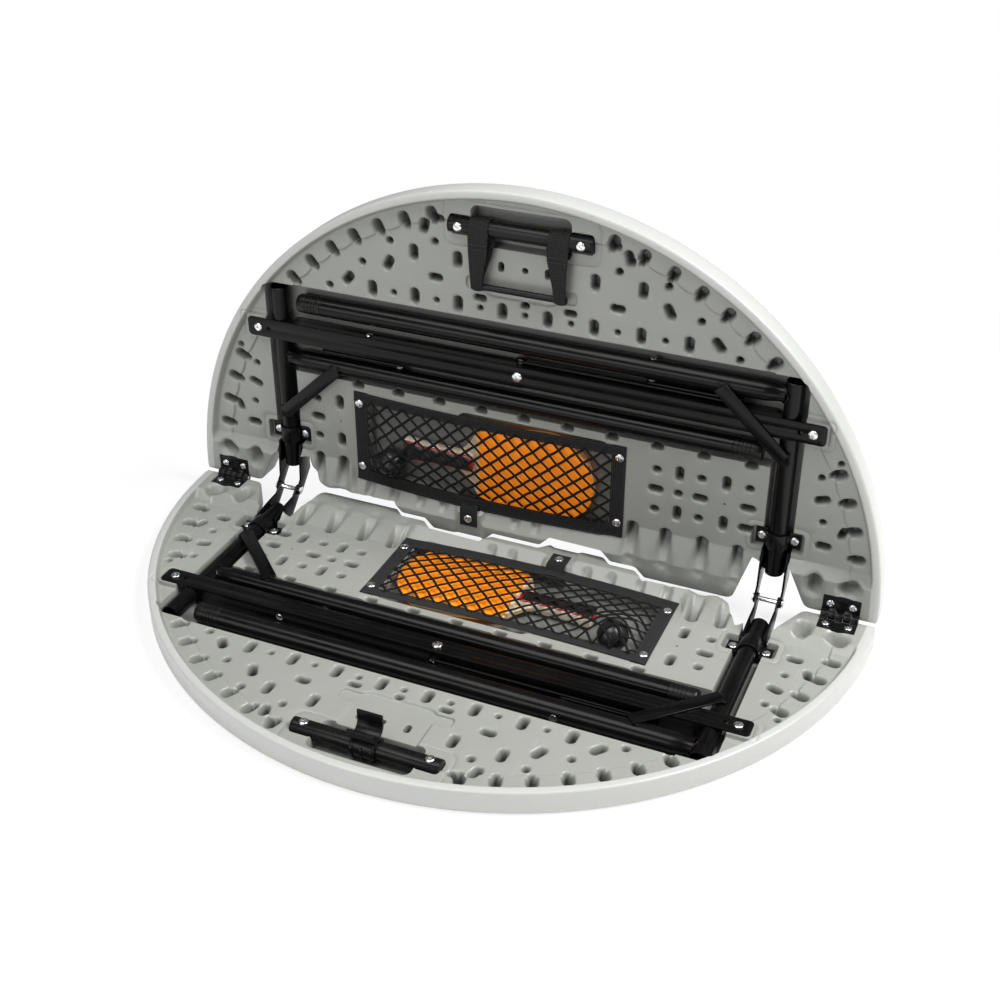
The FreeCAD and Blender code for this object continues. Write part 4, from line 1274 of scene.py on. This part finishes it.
def band_piece(name, parts, place, body, material, node):
    points, faces = gathered([part[:2] for part in parts])
    marks = [spot for part in parts for spot in part[2]]
    piece = mesh_object(name, points, faces, place)
    layer = piece.data.uv_layers.new(name="band")
    values = np.array([marks[loop.vertex_index] for loop in piece.data.loops], np.float32)
    layer.data.foreach_set("uv", values.reshape(-1))
    face_outwards(piece)
    finish_piece(piece, body, material, (node,), 45.0)


def stitch_tree():
    tree, given, last = tree_of("Stitch rows", [
        ("Stitch pitch", "Float", 0.0030),
        ("Thread radius", "Float", 0.00032),
        ("Seed", "Int", 4),
        ("Finish", "Material", None),
    ])
    curve = add(tree, "GeometryNodeMeshToCurve", {"Mesh": given["Geometry"]}).outputs["Curve"]
    settings = {"Curve": curve, "Length": given["Stitch pitch"]}
    spaced = add(tree, "GeometryNodeCurveToPoints", settings, mode="LENGTH").outputs
    settings = {"Segments": 6, "Rings": 5, "Radius": given["Thread radius"]}
    stitch = add(tree, "GeometryNodeMeshUVSphere", settings)
    settings = {0: (0.95, 0.95, 2.9), 1: (1.15, 1.15, 3.6), "Seed": given["Seed"]}
    jitter = add(tree, "FunctionNodeRandomValue", settings, data_type="FLOAT_VECTOR")
    rows = add(tree, "GeometryNodeInstanceOnPoints", {
        "Points": spaced["Points"], "Instance": stitch.outputs["Mesh"],
        "Rotation": spaced["Rotation"], "Scale": jitter.outputs[0],
    })
    return end_tree(tree, last, rows.outputs["Instances"], given["Finish"])


def stitched(name, runs, place, body, tree, material):
    points, edges = [], []
    for run in runs:
        edges += chain(len(points), len(run))
        points += run
    piece = mesh_object(name, points, [], place, edges)
    grow(piece, tree, {"Finish": material})
    finish_piece(piece, body, None, (), 60.0)


# Webbing border: levels of its centre line, widths of its long runs
LONG_LEVEL = -10.15
END_LEVEL = -10.85
NEAR_WIDTH = 18.0
FAR_WIDTH = 13.5


def border_lines():
    u0, u1, v0, v1 = POCKET_OUTER
    long_run = np.linspace(u0 + 0.5, u1 - 0.5, 61)
    lifted = LONG_LEVEL + 3.0 * np.exp(-(((long_run - TAB_PLACE) / 14.0) ** 2))
    near = list(zip(long_run, v0 + NEAR_WIDTH / 2 + BOW_NEAR * bow(long_run), lifted))
    far = [(u, v1 - 7.0 - BOW_FAR * bow(u), LONG_LEVEL) for u in long_run]
    ends = [[(u, v, END_LEVEL) for v in np.linspace(v0 + 0.5, v1 - 0.5, 25)] for u in (u0 + 9.5, u1 - 9.5)]
    return near, far, ends


def dress_border(half, material, tree, stitch):
    near, far, ends = border_lines()
    parts = [band(near, (0, 1, 0), NEAR_WIDTH, 1.15), band(far, (0, 1, 0), FAR_WIDTH, 1.15)]
    parts += [band(line, (1, 0, 0), 18.6, 1.15) for line in ends]
    drops = [(3.2, -1.7), (24.0, -1.7), (26.5, -2.2), (29.0, -4.5), (31.5, -7.6), (34.0, -9.0), (44.0, -9.2)]
    parts.append(band([(TAB_PLACE, v, h) for v, h in drops], (1, 0, 0), 24.0, 1.3))
    body = f"{half}_half"
    band_piece(f"{half}_border_webbing", parts, PLACES[half], body, material, f"{half}_pocket_border")
    runs = []
    for line, width in ((near, NEAR_WIDTH), (far, FAR_WIDTH)):
        for s in (-1, 1):
            runs.append([(u, v + s * (width / 2 - 2.2), h + 0.65) for u, v, h in line[1:-1]])
    for line in ends:
        runs += [[(u + s * 7.0, v, -10.25) for u, v, h in line[5:-4]] for s in (-1, 1)]
    runs += [[(u, v, -8.4) for u in np.linspace(TAB_PLACE - 10.0, TAB_PLACE + 10.0, 9)] for v in (39.0, 44.5)]
    stitched(f"{half}_border_stitches", runs, PLACES[half], body, tree, stitch)


# Screws and rivets
def turned_shape(name, profile, count):
    piece = mesh_object(name, *spun(profile, (0, 0, 0), "h", count))
    face_outwards(piece)
    return piece


def cross_head_screw():
    profile = [(-12.0, 0), (-12.0, 1.1), (-11.4, 1.9), (0.0, 1.95), (0.05, 5.45), (0.9, 5.5), (1.35, 5.35)]
    profile += [(1.8, 4.9), (2.15, 4.1), (2.4, 3.0), (2.52, 1.8), (2.56, 0.0)]
    head = turned_shape("screw_shape", profile, 36)
    for turn in (0, 90):
        a = math.radians(turn)
        corners = []
        for h, reach, half in ((0.7, 1.5, 0.35), (3.2, 3.1, 0.62)):
            for x, y in ((-reach, -half), (reach, -half), (reach, half), (-reach, half)):
                corners.append((x * math.cos(a) - y * math.sin(a), x * math.sin(a) + y * math.cos(a), h))
        tool = mesh_object("screw_cut", corners, tube_faces(2, 4))
        face_outwards(tool)
        cut = head.modifiers.new("cut", "BOOLEAN")
        cut.object = tool
        cut.operation = "DIFFERENCE"
        cut.solver = "EXACT"
        baked(head)
        bpy.data.objects.remove(tool)
    return head


def rivet_shape():
    profile = [(-1.8, 0), (-1.8, 2.5), (0.0, 2.5), (0.02, 4.45), (0.5, 4.4), (1.0, 3.9), (1.45, 2.9)]
    return turned_shape("rivet_shape", profile + [(1.7, 1.5), (1.8, 0)], 28)


def screw_tree():
    tree, given, last = tree_of("Screws", [
        ("Screw", "Object", None),
        ("Rivet", "Object", None),
        ("Seed", "Int", 7),
        ("Finish", "Material", None),
    ])
    facing = add(tree, "FunctionNodeEulerToRotation", {"Euler": named(tree, "facing", "FLOAT_VECTOR")})
    parted = parted_by(tree, given["Geometry"], "rivet")
    joined = tree.nodes.new("GeometryNodeJoinGeometry")
    for label, group in (("Rivet", "Selection"), ("Screw", "Inverted")):
        shape = add(tree, "GeometryNodeObjectInfo", {"Object": given[label]})
        rows = add(tree, "GeometryNodeInstanceOnPoints", {
            "Points": parted[group], "Instance": shape.outputs["Geometry"],
            "Rotation": facing.outputs["Rotation"], "Scale": named(tree, "size"),
        })
        settings = {0: (0, 0, 0), 1: (0, 0, 1.57), "Seed": given["Seed"]}
        spin = add(tree, "FunctionNodeRandomValue", settings, data_type="FLOAT_VECTOR")
        settings = {"Instances": rows.outputs["Instances"], "Rotation": spin.outputs[0]}
        turned = add(tree, "GeometryNodeRotateInstances", settings)
        tree.links.new(turned.outputs["Instances"], joined.inputs["Geometry"])
    return end_tree(tree, last, joined.outputs["Geometry"], given["Finish"])


def hardware_screws():
    places = []
    for s in (-1, 1):
        for t in (-1, 1):
            places.append((s * RAIL + t * 19.4, 77.5, -17.5, 1.0))
            places.append((s * 413.5 + t * 13.2, 14.0, -1.5, 0.86))
        places += [(s * 355.0, 230.0, -2.1, 1.0), (s * 75.0, BAR_ROW, -2.6, 1.0)]
    return places + [(0.0, 230.0, -2.1, 1.14)]


def pocket_screws():
    return [(u, v, -9.9, 1.0) for u in (-130.0, 220.0) for v in (53.0, 144.5)] + [(TAB_PLACE, 14.5, -1.0, 1.0)]


def dress_screws(half, tree, screw, rivet, material):
    upright, level = (0.0, 0.0, 0.0), (math.pi / 2, 0.0, 0.0)
    up, side = (upright, level) if half == "lower" else (level, upright)
    rows = [(HARDWARE[half](u, v, h), size, 0.0, up) for u, v, h, size in hardware_screws()]
    rows += [(PLACES[half](u, v, h), size, 0.0, up) for u, v, h, size in pocket_screws()]
    rows.append((HARDWARE[half](-202.0, 242.5, -12.0), 1.0, 1.0, side))
    spots, sizes, rivets, facings = zip(*rows)
    piece = mesh_object(f"{half}_screw_set", spots, [])
    for label, values in (("size", sizes), ("rivet", rivets), ("facing", facings)):
        mark(piece, label, values)
    grow(piece, tree, {"Screw": screw, "Rivet": rivet, "Finish": material})
    finish_piece(piece, f"{half}_half", None, (f"{half}_screws",), 30.0)


# Carry strap and snap clip
ROD_ROW = 337.0
ROD_DEPTH = -5.15
ROD_REACH = 57.3
ROD_SIZE = 3.95
STRAP_PLACE = 49.0
LOOP = 11.05
ROD_LOOP = 5.0


def around(v, h, size, first, last, step):
    turns = [math.radians(degrees) for degrees in range(first, last, step)]
    return [(v + size * math.cos(a), h + size * math.sin(a)) for a in turns]


def strap_path():
    path = around(BAR_ROW, BAR_DEPTH, LOOP, 95, 455, 12) + [(BAR_ROW, BAR_DEPTH + LOOP + 0.35)]
    for t in np.linspace(0.10, 0.93, 14):
        level = (BAR_DEPTH + LOOP) * (1 - t) + (ROD_DEPTH + ROD_LOOP) * t
        path.append((BAR_ROW + (ROD_ROW - BAR_ROW) * t, level + 1.2 * math.sin(math.pi * t)))
    return path + around(ROD_ROW, ROD_DEPTH, ROD_LOOP, 90, 415, 15)


def under_path():
    start, end = BAR_ROW - 10.2, ROD_ROW + 6.5
    path = []
    for t in np.linspace(0.0, 1.0, 12):
        level = -9.2 * (1 - t) + (ROD_DEPTH - 1.0) * t
        path.append((start + (end - start) * t, level + 1.4 * math.sin(math.pi * t)))
    return path


def gather(v):
    return ease((396.0 - v) / 62.0)


def strap_band(side, path, top, low, slip):
    line, widths, cups = [], [], []
    for v, h in path:
        part = gather(v)
        sway = 1.2 * math.sin(v / 9.0) * part * (1 - part)
        line.append((side * (STRAP_PLACE - slip * (1 - part) + 2.6 * part + sway), v, h))
        widths.append(top + (low - top) * part)
        cups.append(1.7 * part)
    return band(line, (1, 0, 0), widths, 1.35, cups)


def dress_strap(material, rod_material, tree, stitch):
    parts = []
    runs = []
    for s in (-1, 1):
        parts.append(strap_band(s, strap_path(), 24.8, 14.5, 0.0))
        parts.append(strap_band(s, under_path(), 23.0, 12.0, 6.0))
        for v in (384.0, 390.0):
            runs.append([(s * STRAP_PLACE + x, v, 1.75) for x in np.linspace(-9.5, 9.5, 8)])
    band_piece("carry_strap_bands", parts, upper_mirror, "strap", material, "grip_strap")
    stitched("carry_strap_stitches", runs, upper_mirror, "strap", tree, stitch)
    end = [(0.0, 0), (0.0, 2.6), (0.5, 3.5), (1.4, ROD_SIZE)]
    profile = [(s - ROD_REACH, r) for s, r in end]
    for u in np.linspace(4 - ROD_REACH, ROD_REACH - 4, 40):
        profile.append((u, ROD_SIZE + 0.05 * math.sin(u * 0.9)))
    profile += [(ROD_REACH - s, r) for s, r in reversed(end)]
    rod = spun(profile, (0, ROD_ROW, ROD_DEPTH), "u", 32)
    shell("carry_strap_rod", rod, upper_mirror, "strap", "black_plastic", rod_material, ("grip_rod",))


def rib(u):
    low, high, half, steps = 12.9, 14.3, 1.5, 20
    points = []
    for k, a in enumerate(np.linspace(math.radians(-150.0), math.radians(35.0), steps)):
        rise = high if 0 < k < steps - 1 else low + 0.1
        for x, r in ((-half, low), (-half * 0.7, rise), (half * 0.7, rise), (half, low)):
            points.append((u + x, BAR_ROW + r * math.cos(a), BAR_DEPTH + r * math.sin(a)))
    return points, tube_faces(steps, 4)


def dress_clip(material):
    softened("snap_clip", "clip", material, 0.6)
    ribs = gathered([rib(u) for u in (-11.5, 0.0, 11.5)])
    shell("snap_clip_ribs", ribs, lower_place, "clip", "black_plastic", material)


# Stage
def paper_white():
    material, tree, surface = new_finish("studio_floor", Roughness=0.9, Specular_IOR_Level=0.1)
    place = here(tree)
    colour = blend_colour(tree, noise(tree, place, 3.0, 2.0), (0.90, 0.90, 0.90, 1), (0.93, 0.93, 0.93, 1))
    tree.links.new(colour, surface.inputs["Base Color"])
    white = add(tree, "ShaderNodeEmission", {"Color": (1, 1, 1, 1), "Strength": 1.0})
    seen = add(tree, "ShaderNodeLightPath").outputs["Is Camera Ray"]
    away = add(tree, "ShaderNodeVectorMath", {0: place}, operation="LENGTH").outputs["Value"]
    share = sums(tree, "MULTIPLY", seen, spread(tree, away, 0.80, 1.0, 0.55, 1.3))
    parts = {"Fac": share, 1: surface.outputs["BSDF"], 2: white.outputs["Emission"]}
    mixed = add(tree, "ShaderNodeMixShader", parts)
    tree.links.new(mixed.outputs["Shader"], tree.nodes["Material Output"].inputs["Surface"])
    return material


FLOOR_SIZE = 9000.0
FLOOR_ROWS = 12
FLOOR_LEVEL = -0.4


LIGHTS = {
    "key": ((1.55, 0.26, 2.1), (0.0, 0.0, 0.1), (1.1, 1.1)),
    "top": ((-0.5, -0.6, 2.4), (0.0, 0.05, 0.1), (1.8, 1.2)),
    "front": ((-0.9, -2.3, 0.9), (0.0, 0.1, 0.2), (1.8, 1.0)),
}
CAMERA_PLACE = (0.5946, -1.2248, 1.0650)
CAMERA_TURN = (58.0, 0.0, 23.17)
CAMERA_LENS = 52.96


def soft_box(name, spot, aim, size, power):
    light = bpy.data.lights.new(name, "AREA")
    light.shape = "RECTANGLE"
    light.size, light.size_y = size
    light.energy = power
    piece = linked(name, light)
    piece.location = spot
    piece.rotation_euler = (Vector(aim) - Vector(spot)).to_track_quat("-Z", "Y").to_euler()


def build_floor():
    across = [FLOOR_SIZE * (i / FLOOR_ROWS - 0.5) for i in range(FLOOR_ROWS + 1)]
    points = [(x, y, FLOOR_LEVEL) for x in across for y in across]
    faces = []
    for i in range(FLOOR_ROWS):
        for j in range(FLOOR_ROWS):
            k = i * (FLOOR_ROWS + 1) + j
            faces.append((k, k + FLOOR_ROWS + 1, k + FLOOR_ROWS + 2, k + 1))
    floor = mesh_object("studio_floor", points, faces)
    dress(floor, paper_white())


def build_world(sky):
    world = bpy.data.worlds.new("studio")
    bpy.context.scene.world = world
    world.use_nodes = True
    tree = world.node_tree
    tree.nodes.clear()
    seen = add(tree, "ShaderNodeBackground", {"Color": (1, 1, 1, 1), "Strength": 1.0})
    lit = add(tree, "ShaderNodeBackground", {"Color": (0.95, 0.97, 1.0, 1), "Strength": sky})
    ray = add(tree, "ShaderNodeLightPath").outputs["Is Camera Ray"]
    pick = add(tree, "ShaderNodeMixShader", {0: ray, 1: lit.outputs[0], 2: seen.outputs[0]})
    add(tree, "ShaderNodeOutputWorld", {"Surface": pick.outputs[0]})


def build_stage(options):
    build_floor()
    build_world(options.sky)
    for name, row in LIGHTS.items():
        soft_box(f"{name}_light", *row, getattr(options, name))
    camera = bpy.data.cameras.new("camera")
    camera.lens = CAMERA_LENS
    camera.sensor_width = 36.0
    camera.clip_end = 50.0
    eye = linked("camera", camera)
    eye.location = CAMERA_PLACE
    eye.rotation_euler = [math.radians(degrees) for degrees in CAMERA_TURN]
    bpy.context.scene.camera = eye
    bpy.context.scene.view_settings.view_transform = "Standard"


# Options, operators and panel
def colour_option(name, description, default):
    return bpy.props.FloatVectorProperty(
        name=name, description=description, subtype="COLOR", size=4, min=0.0, max=1.0, default=default)


class TableOptions(bpy.types.PropertyGroup):
    shade: colour_option("Table colour", "Colour of the moulded underside", (0.272, 0.279, 0.255, 1.0))
    # The rim colour is partly a paler plastic and partly painted light
    pale: colour_option("Rim colour", "Colour of the rim and the playing side", (0.44, 0.445, 0.425, 1.0))


class PocketOptions(bpy.types.PropertyGroup):
    cord: bpy.props.FloatProperty(
        name="Cord radius", description="Half the thickness of the net's cord", unit="LENGTH",
        subtype="DISTANCE", default=0.00175)
    rubber: colour_option("Bat rubber", "Colour of the sheets on the bats", (1.0, 0.27, 0.006, 1.0))


def power_option(name, place, default):
    return bpy.props.FloatProperty(
        name=name, description=f"Power of the light {place}", unit="POWER", default=default)


class StageOptions(bpy.types.PropertyGroup):
    sky: bpy.props.FloatProperty(name="Sky", description="Strength of the soft light all round", default=0.16)
    key: power_option("Key", "at the right and behind", 84.0)
    top: power_option("Top", "overhead", 34.0)
    front: power_option("Front", "at the front", 20.0)


MADE = {}
DARK_ZINC = ("dark_zinc_plate", 0.22)


def made_once(maker, *values):
    key = (maker, values)
    if key not in MADE:
        MADE[key] = maker(*values)
    return MADE[key]


class AddMouldings(bpy.types.Operator):
    """Add the two moulded halves of the tabletop"""
    bl_idname = "games_table.add_mouldings"
    bl_label = "Add mouldings"

    def execute(self, context):
        options = context.scene.games_table
        dress_halves(table_plastic(list(options.shade), list(options.pale)))
        return {"FINISHED"}


class AddLegs(bpy.types.Operator):
    """Add the rails, legs, feet, gussets and braces"""
    bl_idname = "games_table.add_legs"
    bl_label = "Add legs"

    def execute(self, context):
        coats = made_once(powder_coat), made_once(black_plastic), made_once(zinc_plate, *DARK_ZINC)
        for half in HALVES:
            for side in LEG_ROWS:
                dress_leg(half, side, *coats)
        return {"FINISHED"}


class AddBrackets(bpy.types.Operator):
    """Add the crossbars, saddles, link brackets, hinges and their pins"""
    bl_idname = "games_table.add_brackets"
    bl_label = "Add brackets and hinges"

    def execute(self, context):
        steel, plastic = made_once(powder_coat), made_once(black_plastic)
        for half in HALVES:
            for kind, slot, finish, width in (
                ("crossbar", "black_steel", steel, 0.5),
                ("saddles", "black_steel", steel, 0.5),
                ("link_brackets", "black_steel", steel, 0.5),
                ("brace_pin", "zinc_steel", made_once(zinc_plate, *DARK_ZINC), 0.3),
                ("hinge_leaves", "black_plastic", plastic, 0.5),
                ("grip_bar", "black_plastic", plastic, 0.9),
            ):
                softened(f"{half}_{kind}", f"{half}_half", finish, width)
        softened("fold_pins", "lower_half", made_once(zinc_plate), 0.4)
        return {"FINISHED"}


class AddScrews(bpy.types.Operator):
    """Add the cross-headed screws and rivets of both halves"""
    bl_idname = "games_table.add_screws"
    bl_label = "Add screws"

    def execute(self, context):
        tree = screw_tree()
        shapes = cross_head_screw(), rivet_shape()
        for half in HALVES:
            dress_screws(half, tree, *shapes, made_once(zinc_plate))
        for shape in shapes:
            bpy.data.objects.remove(shape)
        return {"FINISHED"}


class AddBats(bpy.types.Operator):
    """Add the bats and balls in the pockets"""
    bl_idname = "games_table.add_bats"
    bl_label = "Add bats and balls"

    def execute(self, context):
        options = context.scene.games_pockets
        finishes = plywood(), bat_rubber(list(options.rubber)), bat_lacquer(), ball_plastic()
        for half in HALVES:
            dress_bat(half, *finishes)
        return {"FINISHED"}


class AddPockets(bpy.types.Operator):
    """Add the nets and their webbing borders"""
    bl_idname = "games_table.add_pockets"
    bl_label = "Add pockets"

    def execute(self, context):
        options = context.scene.games_pockets
        tree = cord_tree()
        cord = net_cord()
        for half in HALVES:
            dress_net(half, tree, options.cord, cord)
            dress_border(half, made_once(webbing), made_once(stitch_tree), made_once(thread))
        return {"FINISHED"}


class AddHandles(bpy.types.Operator):
    """Add the carry strap with its rod, and the snap clip"""
    bl_idname = "games_table.add_handles"
    bl_label = "Add strap and clip"

    def execute(self, context):
        plastic = made_once(black_plastic)
        dress_strap(made_once(webbing), plastic, made_once(stitch_tree), made_once(thread))
        dress_clip(plastic)
        return {"FINISHED"}


class AddStage(bpy.types.Operator):
    """Add the floor, the lights and the camera"""
    bl_idname = "games_table.add_stage"
    bl_label = "Add stage"

    def execute(self, context):
        build_stage(context.scene.games_stage)
        return {"FINISHED"}


class GamesTablePanel(bpy.types.Panel):
    bl_idname = "VIEW3D_PT_games_table"
    bl_label = "Folding games table"
    bl_space_type = "VIEW_3D"
    bl_region_type = "UI"
    bl_category = "Games table"

    def draw(self, context):
        scene = context.scene
        for group, names in (
            (scene.games_table, ("shade", "pale")),
            (scene.games_pockets, ("cord", "rubber")),
            (scene.games_stage, ("sky", "key", "top", "front")),
        ):
            box = self.layout.box()
            for name in names:
                box.prop(group, name)
        for operator in OPERATORS:
            self.layout.operator(operator.bl_idname)


OPTIONS = {"games_table": TableOptions, "games_pockets": PocketOptions, "games_stage": StageOptions}
OPERATORS = [AddMouldings, AddLegs, AddBrackets, AddScrews, AddBats, AddPockets, AddHandles, AddStage]


def register():
    for group in OPTIONS.values():
        bpy.utils.register_class(group)
    for name, group in OPTIONS.items():
        setattr(bpy.types.Scene, name, bpy.props.PointerProperty(type=group))
    for operator in OPERATORS + [GamesTablePanel]:
        bpy.utils.register_class(operator)


def unregister():
    for operator in reversed(OPERATORS + [GamesTablePanel]):
        bpy.utils.unregister_class(operator)
    for name, group in OPTIONS.items():
        delattr(bpy.types.Scene, name)
        bpy.utils.unregister_class(group)


def main():
    register()
    bpy.ops.games_table.add_mouldings()
    bpy.ops.games_table.add_legs()
    bpy.ops.games_table.add_brackets()
    bpy.ops.games_table.add_screws()
    bpy.ops.games_table.add_bats()
    bpy.ops.games_table.add_pockets()
    bpy.ops.games_table.add_handles()
    bpy.ops.games_table.add_stage()


if __name__ == "__main__":
    main()
